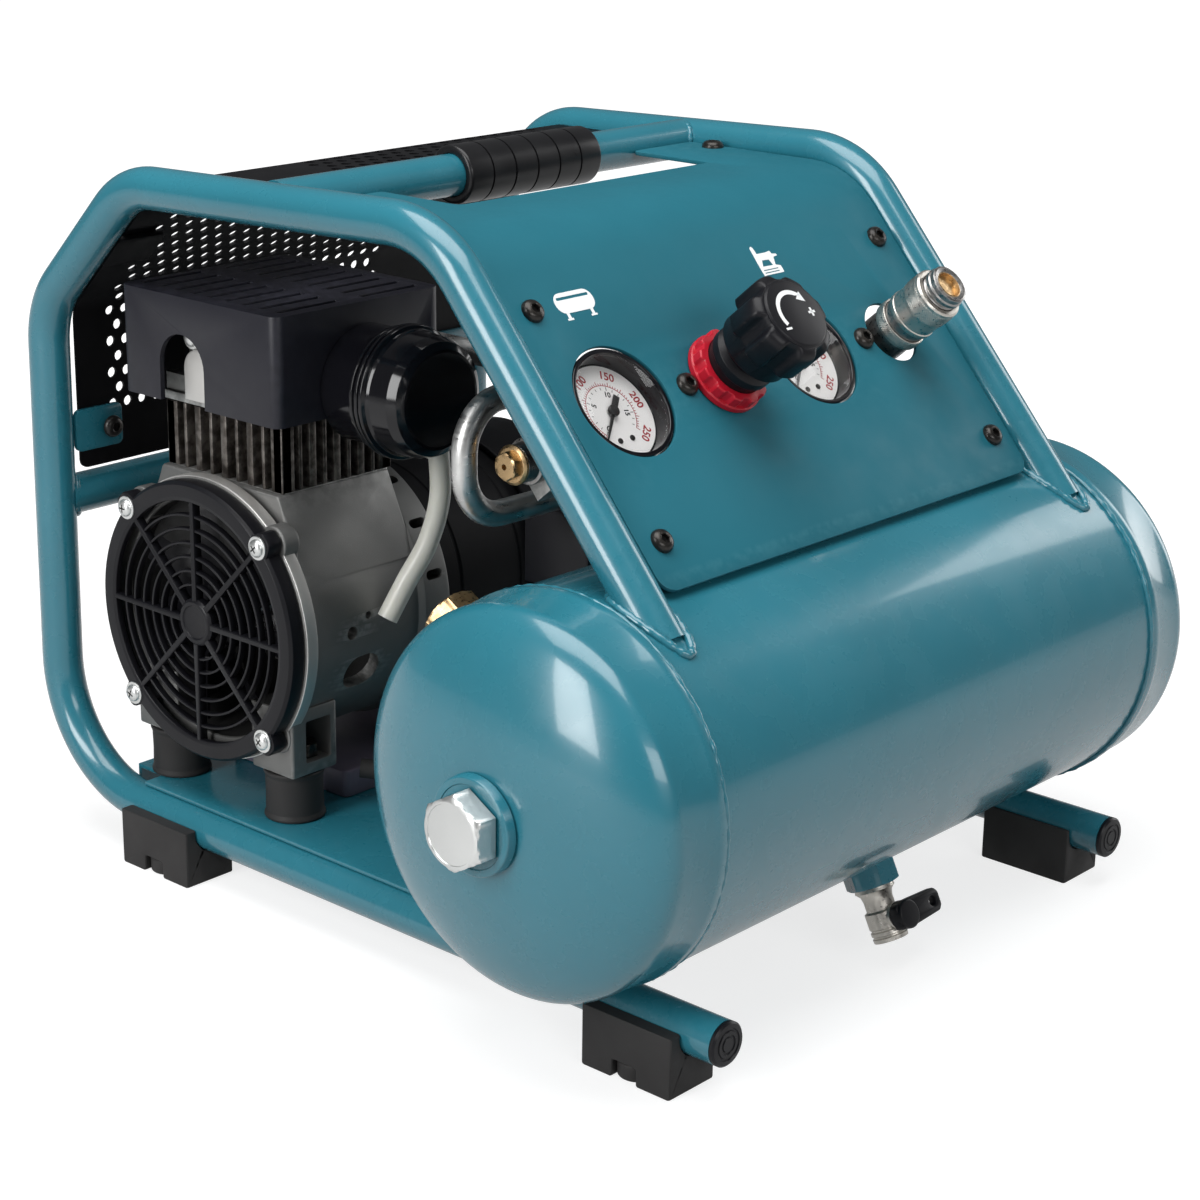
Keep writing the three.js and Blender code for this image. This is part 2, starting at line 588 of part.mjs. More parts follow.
function controlPanel() {
  const holes = [
    [TANK_GAUGE_X, GAUGE_HOLE_R], [OUTLET_GAUGE_X, GAUGE_HOLE_R], [REGULATOR_X, REGULATOR_HOLE_R],
    [COUPLER_X, COUPLER_HOLE_R],
  ].map(([x, radius]) => onPanel(bar(radius, -10, 10, 24), x, DIAL_ROW));
  const gripNotch = box(...GRIP_NOTCH.x, GRIP_NOTCH.frontY, 60, PANEL_TOP_Z - 10, PANEL_TOP_Z + 10);
  return cut(panelSheet(), ...holes, gripNotch, panelCorner(), mirrored(panelCorner()));
}
piece('control_panel', controlPanel(), TEAL_PAINT());

// Everything below sits on the panel's own frame: X across, Y up the slope, Z out of the panel.
const MANIFOLD_Z = [-64, -40];

const MANIFOLD_X = [-98, 100];
const MANIFOLD_Y = [-100, -76];
piece('manifold', box(...MANIFOLD_X, ...MANIFOLD_Y, ...MANIFOLD_Z), CAST_ALUMINIUM(), panelFrame);

function gaugeCase(x) {
  const { radius, rim, dialR, dial, back } = GAUGE;
  const cup = turned([[0, back], [radius - 5.8, back], [radius, back + 3], [radius, rim], [dialR, rim], [dialR, dial],
    [0, dial]], 28, false);
  const hub = bar(1.5, -7, -4, 8);
  const stem = bar(6, MANIFOLD_Z[1] + GAP, -26, 6);
  return join(cup, hub, stem).translate(x, -DIAL_ROW, 0);
}

// Needle with a wide tail and a fine tip, at rest on the zero of the scale, down and to the left.
const SCALE_START = -Math.PI / 4;
function gaugePointer(x) {
  const outline = polygon([[-0.4, -16], [0.4, -16], [1, 0], [1.8, 1], [1.8, 8], [-1.8, 8], [-1.8, 1], [-1, 0]]);
  const boss = bar(3, -5.4, -3.2, 12);
  return cut(join(plate(outline, -5.2, -4.4), boss), bar(1.5 + GAP, -9, 0, 10))
    .rotateZ(SCALE_START).translate(x, -DIAL_ROW, 0);
}
for (const [name, x] of [['tank_gauge', TANK_GAUGE_X], ['outlet_gauge', OUTLET_GAUGE_X]]) {
  piece(`${name}_case`, gaugeCase(x), DIAL_WHITE(), panelFrame);
  piece(`${name}_pointer`, gaugePointer(x), BLACK_PLASTIC(), panelFrame);
}

function regulatorBody() {
  const { radius, collarR, collar, top } = BONNET;
  const bonnet = turned([[0, -30], [radius, -30], [radius, collar[0]], [collarR, collar[0]], [collarR, collar[1]],
    [12.5, top], [0, top]], 22, false);
  const inlet = bar(9, MANIFOLD_Z[1] + GAP, -29, 6);
  return cut(join(bonnet, inlet), bar(SPINDLE_R + GAP, 6, 30, 12)).translate(REGULATOR_X, -DIAL_ROW, 0);
}
piece('regulator_body', regulatorBody(), BLACK_PLASTIC(), panelFrame);

// Red panel nut with square castellations round its rim.
function regulatorRing() {
  const notches = [];
  for (let k = 0; k < 12; k++) {
    notches.push(box(17, 22, -1.6, 1.6, 3.5, 12).rotateZ((k * Math.PI) / 6));
  }
  const nut = ring(19.6, BONNET.radius + GAP, GAP, 8, 24);
  return cut(nut, ...notches).translate(REGULATOR_X, -DIAL_ROW, 0);
}
piece('regulator_ring', regulatorRing(), RED_PLASTIC(), panelFrame);

piece('regulator_spindle', bar(SPINDLE_R, 7, 43, 12).translate(REGULATOR_X, -DIAL_ROW, 0), STEEL(), panelFrame);

// Scalloped hand knob, hollow underneath so that it can be pushed down over the bonnet to lock.
function regulatorKnob() {
  const { lobes, wave, skirtR, skirt, top } = KNOB;
  const outline = new THREE.Shape();
  const steps = 4 * lobes;
  for (let k = 0; k < steps; k++) {
    const angle = (2 * Math.PI * k) / steps;
    const radius = KNOB.radius + wave * Math.cos(lobes * angle);
    outline[k === 0 ? 'moveTo' : 'lineTo'](radius * Math.cos(angle), radius * Math.sin(angle));
  }
  const body = join(plate(outline, ...KNOB.body), bar(skirtR, skirt, KNOB.body[0] + 1, 24),
    bar(18, KNOB.body[1] - 1, top, 20, 15.5));
  return cut(body, bar(15.4, 20, 30, 24), bar(SPINDLE_R + GAP, 20, 46.5, 12)).translate(REGULATOR_X, -DIAL_ROW, 0);
}
piece('regulator_knob', regulatorKnob(), BLACK_PLASTIC(), panelFrame);

// Quick coupler: a fixed body with a collar, and a spring sleeve that is pulled back to let go.
function couplerBody() {
  const { radius, collarR, collar, boreR, top } = COUPLER;
  const foot = MANIFOLD_Z[1] + GAP;
  const body = turned([[0, foot], [radius, foot], [radius, collar[0]], [collarR, collar[0]], [collarR, collar[1]],
    [radius, collar[1]], [radius, top], [boreR, top], [boreR, 14], [0, 14]], 18, false);
  return body.translate(COUPLER_X, -DIAL_ROW, 0);
}
piece('coupler_body', couplerBody(), NICKEL(), panelFrame);

function couplerSleeve() {
  const sleeve = turned([[8.3, 14], [11, 14], [12.2, 15.5], [12.2, 30], [10.6, 32], [10.6, 35], [8.3, 35]], 18);
  return sleeve.translate(COUPLER_X, -DIAL_ROW, 0);
}
piece('coupler_sleeve', couplerSleeve(), NICKEL(), panelFrame);

// Safety valve in the manifold's left end, with the pin that is pulled to test it.
const SAFETY_VALVE_AT = [-85, -54];
function safetyValve() {
  const body = join(bar(8, 98 + GAP, 112, 16), bar(10, 98 + GAP, 103, 6));
  return alongMinusX(cut(body, bar(4.3, 104, 120, 12))).translate(0, ...SAFETY_VALVE_AT);
}
piece('safety_valve', safetyValve(), BRASS(), panelFrame);
piece('safety_valve_pull', alongMinusX(turned([[0, 104.5], [4, 104.5], [4, 112.4], [6, 112.4], [6, 115.5], [0, 115.5]],
  12, false)).translate(0, ...SAFETY_VALVE_AT), BRASS(), panelFrame);

// ---------------------------------------------------------------- rear cover
function rearCover() {
  const path = bentPoints([
    at(0, COVER_REAR_Y, COVER_BOTTOM_Z),
    at(0, COVER_REAR_Y, COVER_SLOPE_SUM - COVER_REAR_Y),
    at(0, COVER_SLOPE_SUM - COVER_TOP_Z, COVER_TOP_Z),
    at(0, COVER_FRONT_Y, COVER_TOP_Z),
  ], [0, COVER_BEND_R, COVER_BEND_R, 0], 22.5);
  const inner = path.map((p, i) => {
    const along = path[Math.min(i + 1, path.length - 1)].clone().sub(path[Math.max(i - 1, 0)]).normalize();
    return p.clone().add(at(0, -along.z, along.y).multiplyScalar(COVER_SHEET));
  });
  const outline = polygon([...path, ...inner.reverse()].map((p) => [p.y, p.z]));
  return plate(outline, -COVER_HALF_WIDTH, COVER_HALF_WIDTH).rotateY(Math.PI / 2).rotateX(Math.PI / 2);
}
piece('rear_cover', rearCover(), BLACK_STEEL());

// ---------------------------------------------------------------- pump
// Within the pump frame the shaft lies on the X axis, so heights and depths are measured from the shaft.
const fromShaft = (z) => z - SHAFT_Z;

function crankcase() {
  const [x0, x1] = CRANKCASE_X;
  const { flange: thick, topX, topY, footLength, footHalf, footTopZ, webX, ventX } = CRANKCASE;
  const barrel = alongX(bar(CRANKCASE_R, x0, x1, 30));
  const flange = alongX(bar(GUARD_R + 1, x0, x0 + thick, 30));
  const top = box(...topX, ...topY, 20, fromShaft(FLANGE_TOP_Z));
  const feet = MOUNT_Y.map((y) => box(x0 + 1, x0 + footLength, y - PUMP_Y - footHalf, y - PUMP_Y + footHalf,
    fromShaft(MOUNT_TOP_Z) + GAP, fromShaft(footTopZ)));
  const crankRoom = alongX(bar(CRANKCASE.crankRoomR, x0 - 5, webX[0], 24));
  const motorRoom = alongX(bar(CRANKCASE.motorRoomR, webX[1], x1 + 5, 24));
  const shaftHole = alongX(bar(CRANKCASE.shaftR, -70, -50, 16));
  const bore = bar(CRANKCASE.boreR, 10, 80, 24).translate(CYLINDER_X, 0, 0);
  const vents = [-1, 1].map((side) => alongYZ(bar(CRANKCASE.ventR, 30, 80, 12), side, CRANKCASE.ventFall)
    .translate(ventX, 0, 0));
  return cut(join(barrel, flange, top, ...feet), crankRoom, motorRoom, shaftHole, bore, ...vents);
}
piece('crankcase', crankcase(), CAST_ALUMINIUM(), pumpFrame);

function motorHousing() {
  const [x0, x1] = MOTOR_X;
  const can = alongX(ring(MOTOR_R, 50, x0, x1, 28));
  const feet = MOUNT_Y.map((y) => box(MOUNT_X[1] - 14, MOUNT_X[1] + 14, y - PUMP_Y - 14, y - PUMP_Y + 14,
    fromShaft(MOUNT_TOP_Z) + GAP, fromShaft(92)));
  return join(can, ...feet.map((g) => cut(g, alongX(bar(52, x0, x1, 28)))));
}
piece('motor_housing', motorHousing(), BLACK_STEEL(), pumpFrame);

function motorEndBell() {
  const x = MOTOR_X[1] + GAP;
  const slots = [];
  for (let k = 0; k < 8; k++) {
    slots.push(box(x - 1, x + 10, -4, 4, 24, 42).rotateX((k * Math.PI) / 4));
  }
  const bell = turned([[7.6, x], [MOTOR_R, x], [MOTOR_R, x + 4], [48, x + 8], [14, x + 8], [14, x + 11], [7.6, x + 11]],
    24);
  return cut(alongX(bell), ...slots);
}
piece('motor_end_bell', motorEndBell(), CAST_ALUMINIUM(), pumpFrame);

piece('motor_stator', alongX(ring(49.4, 30, -24, 18, 24)), COPPER(), pumpFrame);
piece('motor_rotor', alongX(ring(29.4, 7.3, -24, 18, 20)), STEEL(), pumpFrame);

// Shaft with an eccentric for the connecting rod and a counterweight opposite it, at bottom dead centre.
function crankshaft() {
  const shaft = alongX(bar(7, -130, MOTOR_X[1] + 9, 16));
  const eccentric = alongX(bar(15, -94.5, -81.5, 24)).translate(0, 0, -CRANK_THROW);
  const half = new THREE.Shape();
  half.absarc(0, 0, 30, 0, Math.PI);
  const weight = alongX(plate(half, -79, -70, 10).rotateZ(Math.PI / 2));
  return join(shaft, eccentric, weight);
}
piece('crankshaft', crankshaft(), STEEL(), pumpFrame);

function fan() {
  const blades = [];
  for (let k = 0; k < 7; k++) {
    blades.push(box(-0.9, 0.9, -9, 9, 12, 53).rotateZ(Math.PI / 3.4).rotateX((2 * Math.PI * k) / 7));
  }
  const centre = -124;
  const wheel = join(alongX(ring(15, 7.3, -6, 6, 16)), ...blades.map((g) => cut(g, alongX(bar(8, -20, 20, 12)))));
  return wheel.translate(centre, 0, 0);
}
piece('fan', fan(), BLACK_PLASTIC(), pumpFrame);

// Points along a round arc about the origin.
function arcPoints(radius, from, to, steps) {
  const points = [];
  for (let k = 0; k <= steps; k++) {
    const angle = from + ((to - from) * k) / steps;
    points.push(new THREE.Vector2(radius * Math.cos(angle), radius * Math.sin(angle)));
  }
  return points;
}

// Guard over the fan: eight spokes between concentric rings, with four screw lugs on the diagonals.
function fanGuard() {
  const grille = new THREE.Shape(arcPoints(GUARD_R, 0, (2 * Math.PI * 23) / 24, 23));
  const rings = [[13, 25.5], [28.5, 41], [44, 58]];
  const half = Math.PI / 8;
  const halfSpoke = 1.6;
  for (let k = 0; k < 8; k++) {
    const middle = (k * Math.PI) / 4 + half;
    for (const [inner, outer] of rings) {
      const wide = half - halfSpoke / outer;
      const narrow = half - halfSpoke / inner;
      grille.holes.push(new THREE.Path([
        ...arcPoints(outer, middle - wide, middle + wide, 2),
        ...arcPoints(inner, middle + narrow, middle - narrow, 2),
      ]));
    }
  }
  const front = plate(grille, 0, 4);
  const rim = ring(GUARD_R, GUARD_R - 4, 3.5, -GUARD_FRONT_X + CRANKCASE_X[0] - GAP, 24);
  const lugs = [45, 135, 225, 315].map((degrees) => bar(7, 0, 8, 8).translate(45 * Math.SQRT2, 0, 0)
    .rotateZ(THREE.MathUtils.degToRad(degrees)));
  return alongX(join(front, rim, ...lugs)).translate(GUARD_FRONT_X, 0, 0);
}
piece('fan_guard', fanGuard(), BLACK_PLASTIC(), pumpFrame);

// Connecting rod: the big end runs on the eccentric, the small end stands inside the hollow piston.
const SMALL_END_Z = fromShaft(172);
function connectingRod() {
  const bigEnd = alongX(bar(21, -6, 6, 24)).translate(0, 0, -CRANK_THROW);
  const shank = box(-5, 5, -5, 5, 5, SMALL_END_Z);
  const smallEnd = alongX(bar(7, -8, 8, 16)).translate(0, 0, SMALL_END_Z);
  const bore = alongX(bar(15 + GAP, -10, 10, 24)).translate(0, 0, -CRANK_THROW);
  return cut(join(bigEnd, shank, smallEnd), bore).translate(CYLINDER_X, 0, 0);
}
piece('connecting_rod', connectingRod(), CAST_ALUMINIUM(), pumpFrame);

function piston() {
  const crown = fromShaft(200);
  const cup = turned([[0, crown - 4], [20, crown - 4], [20, crown - 24], [26.8, crown - 24], [26.8, crown], [0, crown]],
    28, false);
  return cup.translate(CYLINDER_X, 0, 0);
}
piece('piston', piston(), CAST_ALUMINIUM(), pumpFrame);

// Finned cylinder: upright fins on all four sides of a square block.
function cylinder() {
  const halfX = 33;
  const halfY = 39;
  const core = 5;
  const outline = [];
  const fins = 6;
  const corners = [[-1, -1], [1, -1], [1, 1], [-1, 1]];
  corners.forEach(([cx, cy], side) => {
    const [nx, ny] = corners[(side + 1) % 4];
    for (let k = 0; k < fins * 2; k++) {
      const t0 = k / (fins * 2 - 1);
      const t1 = (k + 1) / (fins * 2 - 1);
      if (k % 2 === 0) {
        outline.push([cx + (nx - cx) * t0, cy + (ny - cy) * t0, 0], [cx + (nx - cx) * t1, cy + (ny - cy) * t1, 0]);
      } else if (k < fins * 2 - 1) {
        outline.push([cx + (nx - cx) * t0, cy + (ny - cy) * t0, side + 1]);
        outline.push([cx + (nx - cx) * t1, cy + (ny - cy) * t1, side + 1]);
      }
    }
  });
  const inward = [[0, 0], [0, 1], [-1, 0], [0, -1], [1, 0]];
  const points = outline.map(([u, v, face]) => [
    u * halfX + inward[face][0] * core, v * halfY + inward[face][1] * core]);
  const distinct = points.filter(([x, y], i) => {
    const [px, py] = points[(i + points.length - 1) % points.length];
    return Math.hypot(x - px, y - py) > 0.01;
  });
  const block = plate(polygon(distinct), fromShaft(FLANGE_TOP_Z) + GAP, fromShaft(CYLINDER_TOP_Z));
  return cut(block.translate(CYLINDER_X, 0, 0), bar(BORE_R, 40, 110, 28).translate(CYLINDER_X, 0, 0));
}
piece('cylinder', cylinder(), STEEL(), pumpFrame);

// Cylinder head with its valve plate below and the two air chambers on top.
function cylinderHead() {
  const base = fromShaft(CYLINDER_TOP_Z) + GAP;
  return join(
    box(-121, -42, -41, 43, base, base + 4),
    box(-119, -44, -38, 41, base + 3.5, base + 12),
    box(-116, -62, -4, 28, base + 11, base + 32),
    box(-60, -41, -30, 28, base + 11, base + 32),
  );
}
piece('cylinder_head', cylinderHead(), CAST_ALUMINIUM(), pumpFrame);

// Moulded cover over the head, open below, with an arch in its left side and two rows of slots on top.
function headCover() {
  const [x0, x1] = COVER.x;
  const [y0, y1] = COVER.y;
  const [z0, z1] = COVER.z;
  const middle = [(x0 + x1) / 2, (y0 + y1) / 2];
  const outer = plate(roundedRectangle(x1 - x0, y1 - y0, 5), z0, z1, 3).translate(...middle, 0);
  const inner = plate(roundedRectangle(x1 - x0 - 2 * COVER.wall, y1 - y0 - 2 * COVER.wall, 3), z0 - 5,
    z1 - COVER.wall, 2).translate(...middle, 0);
  const arch = new THREE.Shape();
  arch.moveTo(-15, -5);
  arch.lineTo(15, -5);
  arch.absarc(0, 17, 15, 0, Math.PI);
  const archCutter = plate(arch, -5, 5, 8).rotateX(Math.PI / 2).rotateZ(Math.PI / 2).translate(x0, 116.5, z0);
  const slots = [];
  for (const start of [-125, -77]) {
    for (let k = 0; k < 9; k++) {
      slots.push(box(start, start + 35, 60 + 11.3 * k, 63.5 + 11.3 * k, z1 - 5, z1 + 5));
    }
  }
  const pipeHole = alongYZ(bar(PIPE_R + 1.2, -10, 10, 16), 1, 0).translate(PIPE_START_X, y0, PIPE_Z[1]);
  return cut(outer, inner, archCutter, pipeHole, ...slots);
}
piece('head_cover', headCover(), BLACK_PLASTIC());

// Intake filter canister, its axis along -Y, in two halves that meet at a ribbed joint.
const FILTER = { x: -83, z: 235 };
function filterBody() {
  const shell = turned([[0, GAP], [26.5, GAP], [26.5, 23], [30, 24], [30, 27], [24.5, 27], [24.5, 3], [0, 3]],
    20, false);
  return alongYZ(shell, -1, 0).translate(FILTER.x, COVER.y[0], FILTER.z);
}
piece('air_filter_body', filterBody(), BLACK_PLASTIC());

function filterCap() {
  const cap = turned([[0, 45.6], [22, 45.6], [24, 43], [24, 27 + GAP], [30, 27 + GAP], [30, 30], [26.5, 31],
    [26.5, 43.5], [24.5, 47.5], [21, 48.6], [0, 48.6]], 20, false);
  return alongYZ(cap, -1, 0).translate(FILTER.x, COVER.y[0], FILTER.z);
}
piece('air_filter_cap', filterCap(), BLACK_PLASTIC());

for (const [row, y] of [['front', MOUNT_Y[0]], ['rear', MOUNT_Y[1]]]) {
  for (const [side, x] of [['left', MOUNT_X[0]], ['right', MOUNT_X[1]]]) {
    piece(`pump_mount_${row}_${side}`, bar(MOUNT_R, PLATE_TOP_Z + GAP, MOUNT_TOP_Z, 16).translate(x, y, 0),
      RUBBER());
  }
}

// ---------------------------------------------------------------- pipes, hoses, switch and cable
function curvePoints(points, steps) {
  return new THREE.CatmullRomCurve3(points).getPoints(steps);
}

const HOSE_POINTS = [
  at(-64.3, 26, 207.5), at(-65.7, 28, 180), at(-70.7, 32, 162.6), at(-76.6, 36, 145), at(-85.8, 37.5, 129),
];
piece('intake_hose', tube(curvePoints(HOSE_POINTS, 8), 4.8, 3.2, 5), CLEAR_HOSE());

function dischargePath() {
  const [low, high] = PIPE_Z;
  const valve = [TANK_Y + (TANK_R + 17 + GAP) * CHECK_DIR[0], TANK_Z + (TANK_R + 17 + GAP) * CHECK_DIR[1]];
  const rise = (low - valve[1]) / CHECK_DIR[1];
  const corner = at(CHECK_X, valve[0] + rise * CHECK_DIR[0], low);
  return bentPoints([
    at(PIPE_START_X, PUMP_Y - 30.5, high),
    at(PIPE_START_X, PIPE_Y, high),
    at(PIPE_LEFT_X, PIPE_Y, high),
    at(PIPE_LEFT_X, PIPE_Y, low),
    corner,
    at(CHECK_X, ...valve),
  ], [0, 18, 21, 21, 12, 0], 30);
}
piece('discharge_pipe', tube(dischargePath(), PIPE_R, 4, 4), CAST_ALUMINIUM());

// Pressure switch below the manifold, with its on/off lever on the right.
const SWITCH = { x: [-60, 8], y: [-60, -22], z: [154, 190], pivotY: -41, pivotZ: 172 };
function pressureSwitch() {
  const body = box(...SWITCH.x, ...SWITCH.y, ...SWITCH.z);
  return join(body, alongX(bar(4, SWITCH.x[1] - 1, SWITCH.x[1] + 9, 12)).translate(0, SWITCH.pivotY, SWITCH.pivotZ));
}
piece('pressure_switch', pressureSwitch(), BLACK_PLASTIC());

function switchLever() {
  const pivot = ring(7, 4 + GAP, SWITCH.x[1] + 1, SWITCH.x[1] + 7, 16);
  const arm = box(-4, 4, 5.5, 24, SWITCH.x[1] + 2, SWITCH.x[1] + 6);
  return alongX(join(pivot, arm)).translate(0, SWITCH.pivotY, SWITCH.pivotZ);
}
piece('switch_lever', switchLever(), RED_PLASTIC());

function motorCable() {
  const path = curvePoints([at(-90, 52, 54), at(-60, 20, 50), at(0, 6, 46), at(40, -4, 60), at(46, -20, 120),
    at(30, -41, 150)], 12);
  return tube(path, 4.5, 0, 6);
}
piece('motor_cable', motorCable(), RUBBER());

export default compressor;
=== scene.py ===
"""Portable air compressor: the visual model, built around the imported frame.

Shapes are worked out in millimetres in the frame's own axes and turned into metres when a mesh is made.
X runs along the tank, -Y is the front and +Z is up.
"""

import math

import bmesh
import bpy
from mathutils import Matrix, Vector, noise
from mathutils.geometry import tessellate_polygon


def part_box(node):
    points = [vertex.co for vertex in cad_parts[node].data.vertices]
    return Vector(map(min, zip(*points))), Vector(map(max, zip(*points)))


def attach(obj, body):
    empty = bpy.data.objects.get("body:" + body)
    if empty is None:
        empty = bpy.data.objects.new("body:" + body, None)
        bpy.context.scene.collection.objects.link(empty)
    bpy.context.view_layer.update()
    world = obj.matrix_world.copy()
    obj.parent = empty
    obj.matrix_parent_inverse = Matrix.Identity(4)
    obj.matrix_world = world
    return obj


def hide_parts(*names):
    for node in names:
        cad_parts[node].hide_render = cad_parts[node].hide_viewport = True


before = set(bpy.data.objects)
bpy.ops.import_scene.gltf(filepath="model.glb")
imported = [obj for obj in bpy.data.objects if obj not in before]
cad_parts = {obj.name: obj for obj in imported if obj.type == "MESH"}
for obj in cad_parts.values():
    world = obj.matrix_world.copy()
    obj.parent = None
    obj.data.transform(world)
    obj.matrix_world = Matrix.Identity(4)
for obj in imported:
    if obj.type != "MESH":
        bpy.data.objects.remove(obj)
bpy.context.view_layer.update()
MM = 0.001


# ---------------------------------------------------------------- places taken from the frame
def corners(node):
    """Lowest and highest corner of a CAD node, in millimetres."""
    low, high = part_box(node)
    return low / MM, high / MM


def middle(node):
    low, high = corners(node)
    return (low + high) / 2


TUBE_R = 9.5
LEAN = 3.0
SIDE_LOW, SIDE_HIGH = corners("side_frame_right")
LOOP_FRONT_Y = SIDE_LOW.y
LOOP_REAR_Y = SIDE_HIGH.y - TUBE_R
LOOP_BOTTOM_Z = SIDE_LOW.z + TUBE_R
LOOP_X = SIDE_HIGH.x - TUBE_R
# The top run of each loop falls a little from the front leg to its rear corner.
LOOP_TOP_Z = 323.1
TOP_REAR_Z = 317.0
REAR_BEND_Z = 254.4
REAR_BEND_Y = 144.1

# The panel slopes at this angle; "down" is measured along the slope from the panel's origin.
SLOPE = math.atan2(0.7578, 0.6525)
DOWN = Vector((0, -math.cos(SLOPE), -math.sin(SLOPE)))
OUT = Vector((0, -math.sin(SLOPE), math.cos(SLOPE)))
PANEL_SHEET = 2.0
PANEL_LENGTH = 170.5
PANEL_TOP_AT = 5.8
PANEL_LOW, PANEL_HIGH = corners("control_panel")
PANEL_FOOT = Vector((0, PANEL_LOW.y, PANEL_LOW.z + PANEL_SHEET * math.cos(SLOPE)))
PANEL_ORIGIN = PANEL_FOOT - DOWN * PANEL_LENGTH
LEG_TOP_Y = PANEL_ORIGIN.y + 2.7
DIAL_ROW = 90.0
PANEL_TOP_Z = (PANEL_ORIGIN + DOWN * PANEL_TOP_AT).z
PANEL_SCREWS_DOWN = (44, 150)

TANK = Vector((0, middle("tank_head_left").y, middle("tank_head_left").z))
TANK_R = 80.5
SEAM_X = 151.5
SHAFT = Vector((0, middle("fan_guard").y, middle("fan_guard").z))
GUARD_X = corners("fan_guard")[0].x
COVER_LOW = corners("head_cover")[0]
CYLINDER = middle("cylinder")
GRIP_LOW, GRIP_HIGH = corners("handle_grip")
HANDLE_Y = middle("handle_grip").y
HANDLE_Z = middle("handle_grip").z
CROSS_TUBE_Z = middle("rear_cross_tube").z
COVER_INSET = 4.0
COVER_SHEET = 1.5
COVER_REAR_Y = LOOP_REAR_Y - COVER_INSET
COVER_TOP_Z = corners("rear_cover")[1].z
COVER_SLOPE_SUM = LOOP_REAR_Y + REAR_BEND_Z - COVER_INSET * math.sqrt(2)
COVER_SCREW_Z = 194.0
COVER_SCREW_Y = 170.1
PUMP_FEET_Y = (65.0, 145.0)
PUMP_FEET_Z = 60.3
X = Vector((1, 0, 0))
Y = Vector((0, 1, 0))
Z = Vector((0, 0, 1))


SIDES = ((-1, "left"), (1, "right"))


def loop_x(z):
    """Distance of the leaning side loop from the mid-plane at a height."""
    return LOOP_X - LEAN * (z - LOOP_BOTTOM_Z) / (LOOP_TOP_Z - LOOP_BOTTOM_Z)


def on_slope(x, down):
    """A point of the panel's sloping face: across and down the slope."""
    return Vector((x, 0, 0)) + PANEL_ORIGIN + DOWN * down


# ---------------------------------------------------------------- materials
class Nodes:
    """Short names for building one node material."""

    def __init__(self, name):
        self.material = bpy.data.materials.new(name)
        self.material.use_nodes = True
        self.tree = self.material.node_tree
        self.principled = self.tree.nodes["Principled BSDF"]
        self.place = self.add("ShaderNodeTexCoord").outputs["Object"]

    def add(self, kind, **values):
        node = self.tree.nodes.new(kind)
        for key, value in values.items():
            setattr(node, key, value)
        return node

    def link(self, output, target):
        self.tree.links.new(output, target)

    def noise(self, scale, detail=3.0):
        node = self.add("ShaderNodeTexNoise")
        node.inputs["Scale"].default_value = scale
        node.inputs["Detail"].default_value = detail
        node.inputs["Roughness"].default_value = 0.55
        self.link(self.place, node.inputs["Vector"])
        return node.outputs["Fac"]

    def ramp(self, value, low, high, start=0.35, end=0.65):
        node = self.add("ShaderNodeMapRange")
        node.inputs["From Min"].default_value = start
        node.inputs["From Max"].default_value = end
        node.inputs["To Min"].default_value = low
        node.inputs["To Max"].default_value = high
        self.link(value, node.inputs["Value"])
        return node.outputs["Result"]

    def mix(self, factor, first, second):
        node = self.add("ShaderNodeMix", data_type="RGBA")
        colours = [socket for socket in node.inputs if socket.type == "RGBA"]
        for socket, value in ((node.inputs[0], factor), (colours[0], first), (colours[1], second)):
            if isinstance(value, bpy.types.NodeSocket):
                self.link(value, socket)
            else:
                socket.default_value = value if isinstance(value, float) else (*value, 1)
        return next(socket for socket in node.outputs if socket.type == "RGBA")

    def bump(self, height, strength, distance):
        node = self.add("ShaderNodeBump")
        node.inputs["Strength"].default_value = strength
        node.inputs["Distance"].default_value = distance
        self.link(height, node.inputs["Height"])
        return node.outputs["Normal"]


def shade(color, factor):
    return tuple(min(1.0, c * factor) for c in color)


def surface(name, color, rough, metallic=0.0, grain=(900, 40, 0.3), uneven=0.12, coat=0.0, wear=None,
            specular=0.5):
    """A finish with uneven colour and roughness and a fine grain in its bump.

    grain is (scale, depth in micrometres, strength); wear is (amount, colour) of the rubbed edges.
    """
    n = Nodes(name)
    p = n.principled
    patches = n.ramp(n.noise(14.0), 0.0, 1.0, 0.3, 0.7)
    tone = n.mix(patches, shade(color, 1 - uneven), shade(color, 1 + uneven))
    if wear:
        amount, worn_color = wear
        edge = n.ramp(n.add("ShaderNodeNewGeometry").outputs["Pointiness"], 0.0, 1.0, 0.53, 0.6)
        worn = n.add("ShaderNodeMath", operation="MULTIPLY")
        n.link(edge, worn.inputs[0])
        n.link(n.ramp(n.noise(220.0), 0.0, amount, 0.4, 0.62), worn.inputs[1])
        tone = n.mix(worn.outputs[0], tone, worn_color)
    n.link(tone, p.inputs["Base Color"])
    n.link(n.ramp(n.noise(60.0, 5.0), rough * 0.85, rough * 1.15, 0.3, 0.7), p.inputs["Roughness"])
    scale, depth, strength = grain
    n.link(n.bump(n.noise(scale, 2.0), strength, depth / 1000 * MM), p.inputs["Normal"])
    for socket, value in (("Metallic", metallic), ("Coat Weight", coat), ("Coat Roughness", 0.08),
                          ("Specular IOR Level", specular)):
        p.inputs[socket].default_value = value
    return n.material


